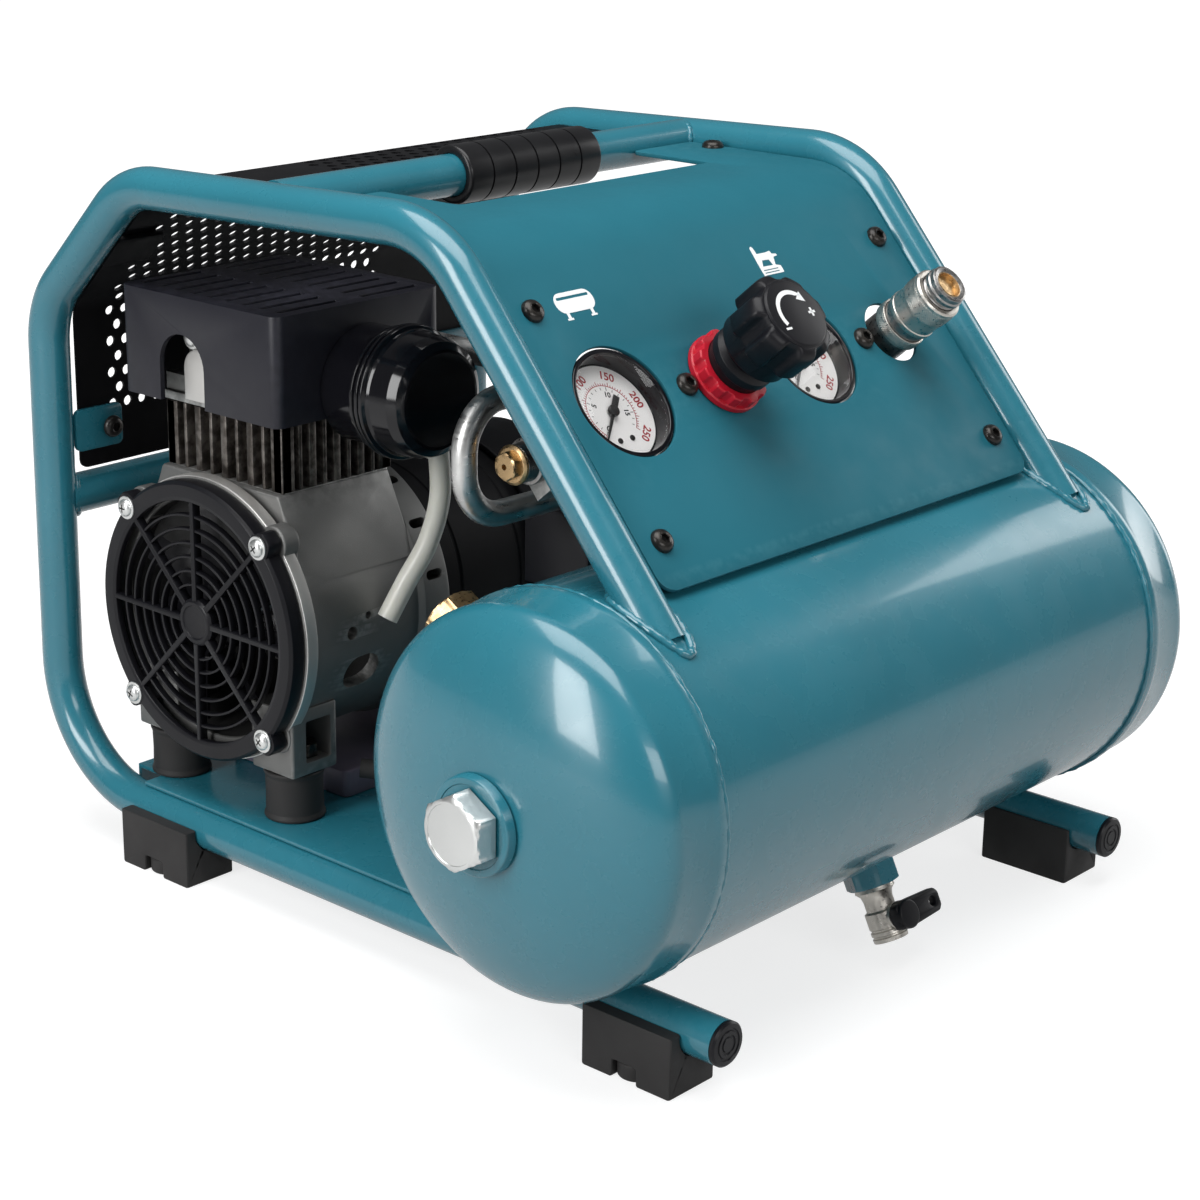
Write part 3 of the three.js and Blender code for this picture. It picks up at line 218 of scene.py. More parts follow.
def brushed(name, color, rough, stretch=(1, 1, 1)):
    """Turned or drawn metal: fine scratches, drawn out along the axes where stretch is small."""
    n = Nodes(name)
    p = n.principled
    mapping = n.add("ShaderNodeMapping")
    mapping.inputs["Scale"].default_value = stretch
    n.link(n.place, mapping.inputs["Vector"])
    lines = n.add("ShaderNodeTexNoise")
    lines.inputs["Scale"].default_value = 700.0
    lines.inputs["Detail"].default_value = 4.0
    n.link(mapping.outputs[0], lines.inputs["Vector"])
    tone = n.mix(n.ramp(n.noise(40.0), 0.0, 1.0), shade(color, 0.8), shade(color, 1.12))
    n.link(tone, p.inputs["Base Color"])
    n.link(n.ramp(lines.outputs["Fac"], rough * 0.75, rough * 1.3), p.inputs["Roughness"])
    n.link(n.bump(lines.outputs["Fac"], 0.08, 0.000008), p.inputs["Normal"])
    p.inputs["Metallic"].default_value = 1.0
    return n.material


def clear(name, tint, rough):
    """Thin clear plastic: it lets light straight through and reflects a little, most at a low angle."""
    n = Nodes(name)
    through = n.add("ShaderNodeBsdfTransparent")
    through.inputs["Color"].default_value = (*tint, 1)
    gloss = n.add("ShaderNodeBsdfGlossy")
    n.link(n.ramp(n.noise(50.0), rough * 0.7, rough * 1.3), gloss.inputs["Roughness"])
    facing = n.add("ShaderNodeLayerWeight").outputs["Facing"]
    mixed = n.add("ShaderNodeMixShader")
    n.link(n.ramp(facing, 0.02, 0.16, 0.35, 1.0), mixed.inputs[0])
    n.link(through.outputs[0], mixed.inputs[1])
    n.link(gloss.outputs[0], mixed.inputs[2])
    n.link(mixed.outputs[0], n.tree.nodes["Material Output"].inputs["Surface"])
    return n.material


def hose_plastic():
    material = surface("hose_plastic", (0.62, 0.62, 0.56), 0.32, grain=(300, 40, 0.3), uneven=0.06)
    p = material.node_tree.nodes["Principled BSDF"]
    p.inputs["Subsurface Weight"].default_value = 0.6
    p.inputs["Subsurface Radius"].default_value = (0.004, 0.004, 0.0035)
    p.inputs["Subsurface Scale"].default_value = 1.0
    return material


TEAL = (0.019, 0.158, 0.212)
PAINT = surface("teal_paint", TEAL, 0.27, grain=(700, 30, 0.16), uneven=0.05, coat=0.55,
                wear=(0.1, (0.12, 0.32, 0.38)))
PANEL_PAINT = surface("teal_panel_paint", shade(TEAL, 0.78), 0.55, grain=(1500, 30, 0.25), uneven=0.05,
                      wear=(0.4, (0.14, 0.34, 0.39)), specular=0.12)
RUBBER = surface("black_rubber", (0.026, 0.025, 0.025), 0.62, grain=(2200, 60, 0.5), uneven=0.2, specular=0.3)
GRIP = surface("grip_rubber", (0.007, 0.007, 0.008), 0.32, grain=(1600, 30, 0.2), uneven=0.2, specular=0.35)
SATIN_BLACK = surface("satin_black_plastic", (0.006, 0.006, 0.008), 0.38, grain=(2600, 40, 0.4), specular=0.24)
COVER_BLACK = surface("head_cover_plastic", (0.012, 0.012, 0.018), 0.4, grain=(2600, 50, 0.5),
                      wear=(0.3, (0.05, 0.05, 0.07)), specular=0.35)
GLOSS_BLACK = surface("gloss_black_plastic", (0.005, 0.005, 0.007), 0.14, grain=(500, 40, 0.08), specular=0.4)
BLACK_COAT = surface("black_powder_coat", (0.004, 0.004, 0.005), 0.48, grain=(1800, 80, 0.5), specular=0.12)
# Twice the box's own colour: painted light that lifts the box out of the casting's shadow.
BOX_PLASTIC_PAINTED_LIGHT = surface("purple_grey_plastic_painted_light", (0.16, 0.14, 0.19), 0.45, grain=(2000, 50, 0.4))
CAST = surface("cast_aluminium", (0.32, 0.32, 0.31), 0.5, 0.85, grain=(2400, 120, 0.7), uneven=0.08,
               wear=(0.8, (0.75, 0.75, 0.73)))
# A lighter copy of the cast aluminium: painted light on the rim round the guard and on the head's end.
CAST_PAINTED_LIGHT = surface("cast_aluminium_painted_light", (0.62, 0.61, 0.59), 0.42, 0.8, grain=(2400, 80, 0.5), uneven=0.08)
# The crankcase drum's bead-blasted aluminium, coloured darker than the other castings: partly its own finish,
# partly painted shade over the whole drum.
BLASTED_CAST_PAINTED_SHADE = surface("blasted_aluminium_painted_shade", (0.19, 0.19, 0.185), 0.5, 0.7, grain=(2400, 100, 0.6), uneven=0.1,
                    wear=(0.8, (0.6, 0.6, 0.58)))
FIN_IRON = surface("fin_metal", (0.06, 0.052, 0.046), 0.42, 0.75, grain=(1200, 80, 0.3),
                   wear=(0.5, (0.4, 0.37, 0.34)))
ZINC = surface("zinc_plate", (0.68, 0.69, 0.68), 0.33, 0.9, grain=(450, 200, 0.35))
NICKEL = brushed("nickel_plate", (0.62, 0.59, 0.54), 0.36)
DARK_NICKEL = brushed("dark_nickel", (0.34, 0.33, 0.32), 0.34)
BRASS = brushed("brass", (0.52, 0.36, 0.19), 0.34)
STEEL = brushed("ground_steel", (0.48, 0.48, 0.49), 0.3, (0.1, 1, 1))
ALUMINIUM = brushed("drawn_aluminium", (0.60, 0.60, 0.59), 0.36, (0.15, 0.15, 1))
COPPER = brushed("copper_winding", (0.6, 0.24, 0.1), 0.35, (0.05, 1, 1))
BLACK_OXIDE = surface("black_screw", (0.02, 0.019, 0.018), 0.3, 0.6, grain=(900, 40, 0.2),
                      wear=(0.6, (0.2, 0.17, 0.14)))
RED = surface("red_plastic", (0.44, 0.008, 0.022), 0.34, grain=(900, 40, 0.15), uneven=0.08, specular=0.35)
DIAL_WHITE = surface("dial_white", (0.80, 0.79, 0.78), 0.5, grain=(1500, 40, 0.05), uneven=0.02)
DIAL_RED = surface("dial_red", (0.32, 0.012, 0.02), 0.5, grain=(900, 40, 0.05))
DIAL_BLACK = surface("dial_black", (0.012, 0.012, 0.012), 0.45, grain=(900, 40, 0.05))
WHITE_PRINT = surface("white_print", (0.78, 0.80, 0.80), 0.4, grain=(1500, 40, 0.05), uneven=0.03)
# Near-black painted shade for recesses: the crank room inside the drum, the cutters and the crosses on the
# guard screws.
PAINTED_SHADE_BLACK = surface("painted_shade_black", (0.01, 0.01, 0.01), 0.7, grain=(900, 40, 0.1))
LENS = clear("gauge_lens", (0.97, 0.97, 0.97), 0.03)
HOSE = hose_plastic()


def make(name, shape, material, body="root", sharp=32, replaces=(), slot=None):
    """A piece from (vertices in millimetres, faces)."""
    vertices, faces = shape
    mesh = bpy.data.meshes.new(name)
    mesh.from_pydata([Vector(v) * MM for v in vertices], [], faces)
    work = bmesh.new()
    work.from_mesh(mesh)
    bmesh.ops.remove_doubles(work, verts=work.verts, dist=0.000002)
    bmesh.ops.recalc_face_normals(work, faces=work.faces)
    work.to_mesh(mesh)
    work.free()
    mesh.materials.append(material)
    mesh.polygons.foreach_set("use_smooth", [True] * len(mesh.polygons))
    mesh.set_sharp_from_angle(angle=math.radians(sharp))
    piece = bpy.data.objects.new(name, mesh)
    bpy.context.scene.collection.objects.link(piece)
    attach(piece, body)
    if replaces:
        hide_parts(*replaces)
    return piece


def together(*shapes):
    """Several shapes as one."""
    vertices = []
    faces = []
    for v, f in shapes:
        start = len(vertices)
        vertices.extend(v)
        faces.extend(tuple(i + start for i in face) for face in f)
    return vertices, faces


def moved(shape, matrix):
    vertices, faces = shape
    return [matrix @ Vector(v) for v in vertices], faces


def turned_to(axis, across, origin):
    """Matrix that takes local Z to axis and local X as near as it can to across, at origin."""
    z = Vector(axis).normalized()
    x = Vector(across) - z * z.dot(Vector(across))
    x = x.normalized() if x.length > 0.001 else z.orthogonal().normalized()
    y = z.cross(x)
    return Matrix.Translation(Vector(origin)) @ Matrix((x, y, z)).transposed().to_4x4()


def grid(rows, columns, wrap_rows=False):
    """Faces between rows of points, each row a closed ring."""
    faces = []
    last = rows if wrap_rows else rows - 1
    for i in range(last):
        for j in range(columns):
            a = i * columns + j
            b = i * columns + (j + 1) % columns
            c = ((i + 1) % rows) * columns + (j + 1) % columns
            d = ((i + 1) % rows) * columns + j
            faces.append((a, b, c, d))
    return faces


def rounded(points, radius, closed=False, steps=4):
    """The same outline with each corner replaced by an arc; radius is a number or one number per corner."""
    result = []
    count = len(points)
    for i, p in enumerate(points):
        r = radius[i] if isinstance(radius, (list, tuple)) else radius
        if r <= 0 or (not closed and i in (0, count - 1)):
            result.append(tuple(p))
            continue
        here = Vector(p)
        back = Vector(points[i - 1]) - here
        ahead = Vector(points[(i + 1) % count]) - here
        angle = back.angle(ahead, math.pi)
        if angle > math.radians(177):
            result.append(tuple(p))
            continue
        reach = min(r / math.tan(angle / 2), back.length * 0.49, ahead.length * 0.49)
        r = reach * math.tan(angle / 2)
        back.normalize()
        ahead.normalize()
        centre = here + (back + ahead).normalized() * (r / math.sin(angle / 2))
        start = here + back * reach - centre
        end = here + ahead * reach - centre
        turn = math.pi - angle
        for k in range(steps + 1):
            t = k / steps
            arc = (start * math.sin((1 - t) * turn) + end * math.sin(t * turn)) / math.sin(turn)
            result.append(tuple(centre + arc))
    return result


def lathe(profile, origin=(0, 0, 0), axis=Z, sides=72, closed=False, across=X):
    """A solid of revolution.

    A profile point is (radius, height), or (half width, height, largest radius) for a hexagon.
    """
    matrix = turned_to(axis, across, origin)
    vertices = []
    for point in profile:
        for j in range(sides):
            angle = 2 * math.pi * j / sides
            r = point[0]
            if len(point) > 2:
                r = min(point[2], r / math.cos((angle % (math.pi / 3)) - math.pi / 6))
            vertices.append(matrix @ Vector((r * math.cos(angle), r * math.sin(angle), point[1])))
    return vertices, grid(len(profile), sides, closed)


def disc(radius, low, high, edge):
    """Profile of a plain round piece with softened edges."""
    return rounded([(0, low), (radius, low), (radius, high), (0, high)], edge)


def hexagon(flats, low, high, chamfer):
    """Profile of a hexagon nut or bolt head, its top edge chamfered to a circle."""
    half = flats / 2
    corner = half * 1.155
    rim = [(half, low, corner), (half, high - chamfer, corner), (half, high - chamfer * 0.6, half * 1.09),
           (half, high - chamfer * 0.25, half * 1.02), (half, high, half * 0.95)]
    return [(0, low), *rim, (0, high)]


def bent(points, radii, degrees=4.0):
    """Corner points joined by straight runs and round bends."""
    corner = [Vector(p) for p in points]
    result = [corner[0]]
    for i in range(1, len(corner) - 1):
        back = (corner[i - 1] - corner[i]).normalized()
        ahead = (corner[i + 1] - corner[i]).normalized()
        turn = math.pi - back.angle(ahead)
        centre = corner[i] + (back + ahead).normalized() * (radii[i] / math.cos(turn / 2))
        start = corner[i] + back * radii[i] * math.tan(turn / 2) - centre
        axis = back.cross(start).normalized()
        steps = max(3, round(math.degrees(turn) / degrees))
        for k in range(steps + 1):
            result.append(Matrix.Rotation(turn * k / steps, 3, axis) @ start + centre)
    result.append(corner[-1])
    return result


def smooth_path(points):
    """A smooth curve through the points."""
    steps = 10
    p = [Vector(q) for q in points]
    p = [p[0] * 2 - p[1], *p, p[-1] * 2 - p[-2]]
    result = []
    for i in range(1, len(p) - 2):
        for k in range(steps):
            t = k / steps
            result.append(0.5 * ((2 * p[i]) + (p[i + 1] - p[i - 1]) * t
                                 + (2 * p[i - 1] - 5 * p[i] + 4 * p[i + 1] - p[i + 2]) * t * t
                                 + (3 * p[i] - p[i - 1] - 3 * p[i + 1] + p[i + 2]) * t ** 3))
    result.append(p[-2])
    return result


def sweep(points, radius, sides=32, closed=False, bore=0.0):
    """A round rod or tube along points; radius is a number or one number per point."""
    points = [Vector(p) for p in points]
    count = len(points)
    tangents = []
    for i, p in enumerate(points):
        before = points[i - 1] if closed or i > 0 else p
        after = points[(i + 1) % count] if closed or i < count - 1 else p
        tangents.append((after - before).normalized())
    normal = tangents[0].orthogonal().normalized()
    normals = [normal]
    for i in range(1, count):
        normal = tangents[i - 1].rotation_difference(tangents[i]) @ normal
        normals.append(normal.normalized())
    twist = 0.0
    if closed:
        last = tangents[-1].rotation_difference(tangents[0]) @ normals[-1]
        twist = math.atan2(last.cross(normals[0]).dot(tangents[0]), last.dot(normals[0]))
    rings = []
    for layer in ([0.0, bore] if bore else [0.0]):
        for i, p in enumerate(points):
            r = layer or (radius[i] if isinstance(radius, (list, tuple)) else radius)
            side = tangents[i].cross(normals[i])
            for j in range(sides):
                angle = 2 * math.pi * j / sides + twist * i / count
                rings.append(p + (normals[i] * math.cos(angle) + side * math.sin(angle)) * r)
    faces = grid(count, sides, closed)
    if bore:
        faces += [tuple(i + count * sides for i in face) for face in grid(count, sides, closed)]
        for j in range(sides):
            k = (j + 1) % sides
            for row in (0, count - 1):
                outer = row * sides
                inner = outer + count * sides
                faces.append((outer + j, outer + k, inner + k, inner + j))
    elif not closed:
        faces += [tuple(range(sides)), tuple(range((count - 1) * sides, count * sides))]
    return rings, faces


def inset(outline, distance):
    """A closed outline moved to its left, towards the solid."""
    result = []
    count = len(outline)
    for i, p in enumerate(outline):
        a = Vector(p) - Vector(outline[i - 1])
        b = Vector(outline[(i + 1) % count]) - Vector(p)
        left = (Vector((-a.y, a.x)).normalized() + Vector((-b.y, b.x)).normalized())
        scale = distance / max(0.35, left.length_squared / 2)
        result.append(tuple(Vector(p) + left * scale))
    return result


def area(outline):
    return sum(a[0] * b[1] - b[0] * a[1] for a, b in zip(outline, outline[1:] + outline[:1])) / 2


def flat(outlines, low, high, edge=0.3):
    """A flat plate in local XY with its edges rounded. The first outline is the rim, the others are holes."""
    loops = [list(outlines[0]) if area(outlines[0]) > 0 else list(outlines[0])[::-1]]
    loops += [list(hole) if area(hole) < 0 else list(hole)[::-1] for hole in outlines[1:]]
    if edge > 0:
        rows = [(edge, low), (edge * 0.3, low + edge * 0.3), (0, low + edge), (0, high - edge),
                (edge * 0.3, high - edge * 0.3), (edge, high)]
    else:
        rows = [(0, low), (0, high)]
    vertices = []
    faces = []
    for loop in loops:
        start = len(vertices)
        for distance, height in rows:
            ring = inset(loop, distance) if distance else loop
            vertices += [(x, y, height) for x, y in ring]
        faces += [tuple(i + start for i in face) for face in grid(len(rows), len(loop))]
    starts = []
    place = 0
    for loop in loops:
        starts.append(place)
        place += len(rows) * len(loop)
    for row in (0, len(rows) - 1):
        index = []
        rims = []
        for loop, start in zip(loops, starts):
            ids = range(start + row * len(loop), start + (row + 1) * len(loop))
            index += ids
            rims.append([Vector((vertices[i][0], vertices[i][1], 0)) for i in ids])
        faces += [tuple(index[i] for i in face) for face in tessellate_polygon(rims)]
    return vertices, faces


def rectangle(x0, x1, y0, y1, radius=0.0, steps=4):
    points = [(x0, y0), (x1, y0), (x1, y1), (x0, y1)]
    return rounded(points, radius, True, steps) if radius else points


def circle(x, y, radius, sides=48, start=0.0, end=2 * math.pi):
    whole = end - start > 6.28
    count = sides if whole else sides + 1
    return [(x + radius * math.cos(start + (end - start) * k / sides),
             y + radius * math.sin(start + (end - start) * k / sides)) for k in range(count)]


def block(low, high, radius=1.0):
    """A box with rounded edges, from its lowest to its highest corner."""
    return flat([rectangle(low[0], high[0], low[1], high[1], radius)], low[2], high[2], min(radius, 1.0))


class Fold:
    """The outer face of a bent sheet, seen from the side: straight runs and round bends, as (y, z) points."""

    def __init__(self, points, radii, side):
        self.side = side
        self.runs = []
        here = Vector(points[0])
        start = 0.0
        for i in range(1, len(points)):
            corner = Vector(points[i])
            direction = (corner - here).normalized()
            cut = 0.0
            turn = 0.0
            if i < len(points) - 1:
                ahead = (Vector(points[i + 1]) - corner).normalized()
                turn = math.atan2(direction.x * ahead.y - direction.y * ahead.x, direction.dot(ahead))
                cut = radii[i] * math.tan(abs(turn) / 2)
            length = (corner - here).length - cut
            self.runs.append((start, length, here, direction, 0.0))
            start += length
            here = here + direction * length
            if turn:
                length = radii[i] * abs(turn)
                self.runs.append((start, length, here, direction, turn / length))
                start += length
                here = corner + ahead * cut
        self.length = start

    def bend_lines(self):
        """Where the flat sheet is cut so that each bend comes out round."""
        steps = 6
        lines = []
        for start, length, _, _, curve in self.runs:
            if curve:
                lines += [start + length * k / steps for k in range(steps + 1)]
        return lines

    def place(self, x, along, height):
        """Where a point of the flat sheet goes; height is measured outwards from the outer face."""
        start, _, here, direction, curve = next(
            (run for run in reversed(self.runs) if along >= run[0]), self.runs[0])
        step = along - start
        if curve:
            angle = curve * step
            chord = direction * (math.sin(angle) / curve)
            chord += Vector((-direction.y, direction.x)) * ((1 - math.cos(angle)) / curve)
            here = here + chord
            direction = Vector((direction.x * math.cos(angle) - direction.y * math.sin(angle),
                                direction.x * math.sin(angle) + direction.y * math.cos(angle)))
        else:
            here = here + direction * step
        out = Vector((-direction.y, direction.x)) * self.side
        y, z = here + out * height
        return Vector((x, y, z))


def folded(outlines, thickness, fold, edge=0.3):
    """A flat sheet with holes, cut along its bend lines and folded."""
    vertices, faces = flat(outlines, -thickness, 0.0, edge)
    work = bmesh.new()
    made = [work.verts.new(v) for v in vertices]
    for face in faces:
        if len(set(face)) > 2 and not work.faces.get([made[i] for i in face]):
            work.faces.new([made[i] for i in face])
    for line in fold.bend_lines():
        everything = work.verts[:] + work.edges[:] + work.faces[:]
        bmesh.ops.bisect_plane(work, geom=everything, dist=0.0005, plane_co=(0, line, 0), plane_no=(0, 1, 0))
    work.verts.ensure_lookup_table()
    work.verts.index_update()
    shape = ([fold.place(*v.co) for v in work.verts], [tuple(v.index for v in f.verts) for f in work.faces])
    work.free()
    return shape


def bead(points, radius, seed):
    """A weld bead: a closed rod along points whose thickness ripples as the weld was laid."""
    radii = []
    for k in range(len(points)):
        rough = noise.noise(Vector((k * 0.35, seed, 0)))
        radii.append(radius * (1 + 0.16 * math.sin(2.3 * k) + 0.3 * rough))
    return sweep(points, radii, 10, closed=True)


def keep(node, material, edge=0.5, sharp=32):
    """A CAD node that stays: its edges are rounded by modifiers and it gets its finish."""
    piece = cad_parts[node]
    for slot in piece.material_slots:
        slot.material = material
    imported_normals = piece.data.attributes.get("custom_normal")
    if imported_normals:
        piece.data.attributes.remove(imported_normals)
    piece.data.polygons.foreach_set("use_smooth", [True] * len(piece.data.polygons))
    weld = piece.modifiers.new("weld", "WELD")
    weld.merge_threshold = 0.00001
    if edge:
        bevel = piece.modifiers.new("edges", "BEVEL")
        bevel.width = edge * MM
        bevel.segments = 2
        bevel.limit_method = "ANGLE"
        bevel.angle_limit = math.radians(sharp)
    split = piece.modifiers.new("sharp", "EDGE_SPLIT")
    split.split_angle = math.radians(sharp)
    return piece


# ---------------------------------------------------------------- frame
LEG_LENGTH = 190.0
LOOP_BENDS = [0, 60, 42, 42, 52, 0]
TAB_X = (104.0, 131.0)
TAB_HALF = 10.0
TAB_SHEET = 2.5
TAB_GAP = 0.3
LEG_BEAD = 1.9
TUBE_BEAD = 1.3
GRIP_BANDS = 6
GROOVE_DEPTH = 0.75
PLUG_PROFILE = [(0, -8), (7.6, -8), (7.6, 0.3), (9.5, 0.3), (9.5, 1.6), (8.7, 2.4), (6.9, 2.6), (6.6, 2.1),
                (5.9, 2.1), (5.6, 2.6), (4.3, 2.6), (4.0, 2.1), (3.3, 2.1), (3.0, 2.6), (0, 2.6)]


def loop_path(side):
    def at(y, z):
        return Vector((side * loop_x(z), y, z))

    leg_end = Vector((0, LEG_TOP_Y, LOOP_TOP_Z)) + DOWN * LEG_LENGTH
    points = [at(LOOP_FRONT_Y, LOOP_BOTTOM_Z), at(LOOP_REAR_Y, LOOP_BOTTOM_Z), at(LOOP_REAR_Y, REAR_BEND_Z),
              at(REAR_BEND_Y, TOP_REAR_Z), at(LEG_TOP_Y, LOOP_TOP_Z), at(leg_end.y, leg_end.z)]
    return bent(points, LOOP_BENDS)


def leg_weld(side):
    """The line where the leg meets the tank."""
    points = []
    edge = DOWN.cross(X)
    top = Vector((0, LEG_TOP_Y, LOOP_TOP_Z))
    count = 72
    for k in range(count):
        angle = 2 * math.pi * k / count
        p = top + edge * math.sin(angle) * TUBE_R
        offset = p - TANK
        b = offset.dot(DOWN)
        reach = -b - math.sqrt(max(0.0, b * b - offset.length_squared + (TANK_R + 0.3) ** 2))
        p = p + DOWN * reach
        points.append(Vector((side * (loop_x(p.z) + TUBE_R * math.cos(angle)), p.y, p.z)))
    return points


def tube_weld(side, y, z, along):
    """The saddle line where a cross tube meets a side loop that runs along Y or Z."""
    points = []
    count = 64
    for k in range(count):
        angle = 2 * math.pi * k / count
        rise = math.sin(angle) if along == "y" else math.cos(angle)
        # The bead sinks into the tubes where they are level with each other.
        radius = TUBE_R - 1.8 * rise ** 4
        x = side * (loop_x(z) - math.sqrt((TUBE_R + 0.7) ** 2 - (radius * rise) ** 2))
        points.append(Vector((x, y + radius * math.cos(angle), z + radius * math.sin(angle))))
    return points


def tab_plate(side, y0, y1, matrix):
    x0, x1 = sorted(side * x for x in TAB_X)
    return moved(flat([rectangle(x0, x1, y0, y1, 3.0)], -TAB_SHEET, 0.0), matrix)


def frame_tabs(side):
    """Tabs welded to the loop: two under the panel's slope, one under its top, one inside the rear cover."""
    under = PANEL_SHEET + TAB_GAP
    tilt = turned_to(OUT, X, PANEL_ORIGIN - OUT * under)
    shapes = [tab_plate(side, -down - TAB_HALF, -down + TAB_HALF, tilt) for down in PANEL_SCREWS_DOWN]
    shapes.append(tab_plate(side, 17, 35, Matrix.Translation((0, 0, PANEL_TOP_Z - under))))
    inside = COVER_REAR_Y - COVER_SHEET - TAB_GAP - TAB_SHEET
    shapes.append(tab_plate(side, -TAB_HALF, TAB_HALF, turned_to(-Y, X, (0, inside, COVER_SCREW_Z))))
    return together(*shapes)


def slope_tab(side):
    """Tab that carries the upper screw of the rear cover, coloured black as painted shade for the shadow it
    sits in.
    """
    sunk = 1.3
    origin = (0, COVER_SCREW_Y - sunk, COVER_SLOPE_SUM - COVER_SCREW_Y - sunk)
    return tab_plate(side, -TAB_HALF, TAB_HALF, turned_to(Y + Z, X, origin))


def build_frame():
    for side, name in SIDES:
        make(f"side_tube_{name}", sweep(loop_path(side), TUBE_R, 40), PAINT, replaces=[f"side_frame_{name}"])
        make(f"frame_tabs_{name}", frame_tabs(side), PAINT)
        # The slope tab's black coat is painted shade.
        make(f"slope_tab_{name}", slope_tab(side), BLACK_COAT)
        welds = {"leg": bead(leg_weld(side), LEG_BEAD, side),
                 "handle": bead(tube_weld(side, HANDLE_Y, HANDLE_Z, "y"), TUBE_BEAD, side),
                 "cross": bead(tube_weld(side, LOOP_REAR_Y, CROSS_TUBE_Z, "z"), TUBE_BEAD, side + 5)}
        for place, weld in welds.items():
            make(f"{place}_weld_{name}", weld, PAINT, sharp=80)
        plug = lathe(PLUG_PROFILE, (side * LOOP_X, LOOP_FRONT_Y, LOOP_BOTTOM_Z), -Y)
        make(f"plug_{name}", plug, SATIN_BLACK, replaces=[f"tube_plug_{name}"])
    for name, y, z, node in (("handle_tube", HANDLE_Y, HANDLE_Z, "handle_bar"),
                             ("cross_tube", LOOP_REAR_Y, CROSS_TUBE_Z, "rear_cross_tube")):
        reach = loop_x(z) - 5
        points = [Vector((reach * (k / 6 - 1), y, z)) for k in range(13)]
        make(name, sweep(points, TUBE_R, 40), PAINT, replaces=[node])
    keep("base_plate", PAINT)
    for foot in ("foot_front_left", "foot_front_right", "foot_rear_left", "foot_rear_right"):
        keep(foot, RUBBER, 1.4, 25)
        foot_boss(foot)
    grip()


def foot_boss(foot):
    """The round rubber boss under a foot, in the notch of its outer wall."""
    low, high = corners(foot)
    from_wall = 9.5
    x = low.x + from_wall if low.x < 0 else high.x - from_wall
    y = low.y + 0.52 * (high.y - low.y)
    make(f"{foot}_boss", lathe(disc(8.5, 0, 7.5, 1.4), (x, y, 0), sides=48), RUBBER)


def grip():
    """Rubber sleeve: a straight cylinder with rounded ends and narrow rings cut in it."""
    start, end = GRIP_LOW.x, GRIP_HIGH.x
    inner = TUBE_R + 0.2
    radius = (GRIP_HIGH.z - GRIP_LOW.z) / 2
    bottom = radius - GROOVE_DEPTH
    profile = [(inner, start), (radius, start)]
    for k in range(1, GRIP_BANDS):
        x = start + (end - start) / GRIP_BANDS * k
        profile += [(radius, x - 0.55), (bottom, x - 0.4), (bottom, x + 0.4), (radius, x + 0.55)]
    profile += [(radius, end), (inner, end)]
    radii = [0.4, 2.2] + [0.0] * (len(profile) - 4) + [2.2, 0.4]
    sleeve = lathe(rounded(profile, radii, True, 8), (0, HANDLE_Y, HANDLE_Z), X, 64, closed=True)
    make("grip_sleeve", sleeve, GRIP, sharp=20, replaces=["handle_grip"])


# ---------------------------------------------------------------- tank
BUNG_X = 207.0
SEAM_BEAD = 1.2
# Where the tank's ports point, in degrees from straight down towards the front.
REAR_PORT = -120.0
CHECK_PORT = -135.0
DRAIN_PORT = 26.5
HEAD_START = 175.6
HEAD_DEPTH = 27.3
HEX_PLUG = [(0, -9), (9, -9), (9, 0.2), (14.0, 0.2, 16.2), (14.0, 8.2, 16.2), (14.0, 9.3, 15.2),
            (14.0, 10.1, 14.0), (13.0, 10.5), (12.4, 10.5), (12.2, 10.1), (0, 10.1)]


def tank_profile():
    """Half of the tank's outline, from its middle to the bung, as (radius, distance along X)."""
    flange = [(0, 0), (1.1, 0.5), (1.6, 3), (1.3, 6.0), (0.1, 9.0)]
    points = [(TANK_R, 0.0)] + [(TANK_R + r, SEAM_X + x) for r, x in flange]
    steps = 24
    for k in range(steps + 1):
        angle = 1.33 * k / steps
        points.append((TANK_R * math.cos(angle), HEAD_START + HEAD_DEPTH * math.sin(angle)))
    bung = [(20.5, -4), (20.0, 0), (17.0, 0), (17.0, -0.6), (0, -0.6)]
    return points + rounded([(r, BUNG_X + x) for r, x in bung], 0.8)


def seam_ripple():
    """The crinkled weld bead round each seam of the tank."""
    rings = []
    count = 220
    radius = TANK_R + 0.4
    for side, _ in SIDES:
        points = []
        radii = []
        for k in range(count):
            angle = 2 * math.pi * k / count
            y, z = math.cos(angle), math.sin(angle)
            wobble = 0.5 * noise.noise(Vector((y * 9, z * 9, side * 3)))
            points.append(TANK + Vector((side * (SEAM_X + 0.4 + wobble), y * radius, z * radius)))
            rough = noise.noise(Vector((k * 0.4, side, 7)))
            radii.append(SEAM_BEAD * (1 + 0.18 * math.sin(k * 2.1) + 0.35 * rough))
        rings.append(sweep(points, radii, 10, closed=True))
    return together(*rings)


def radial(forward):
    """Unit vector square to the tank's axis; forward is its angle from straight down, towards the front."""
    angle = math.radians(forward)
    return Vector((0, -math.sin(angle), -math.cos(angle)))


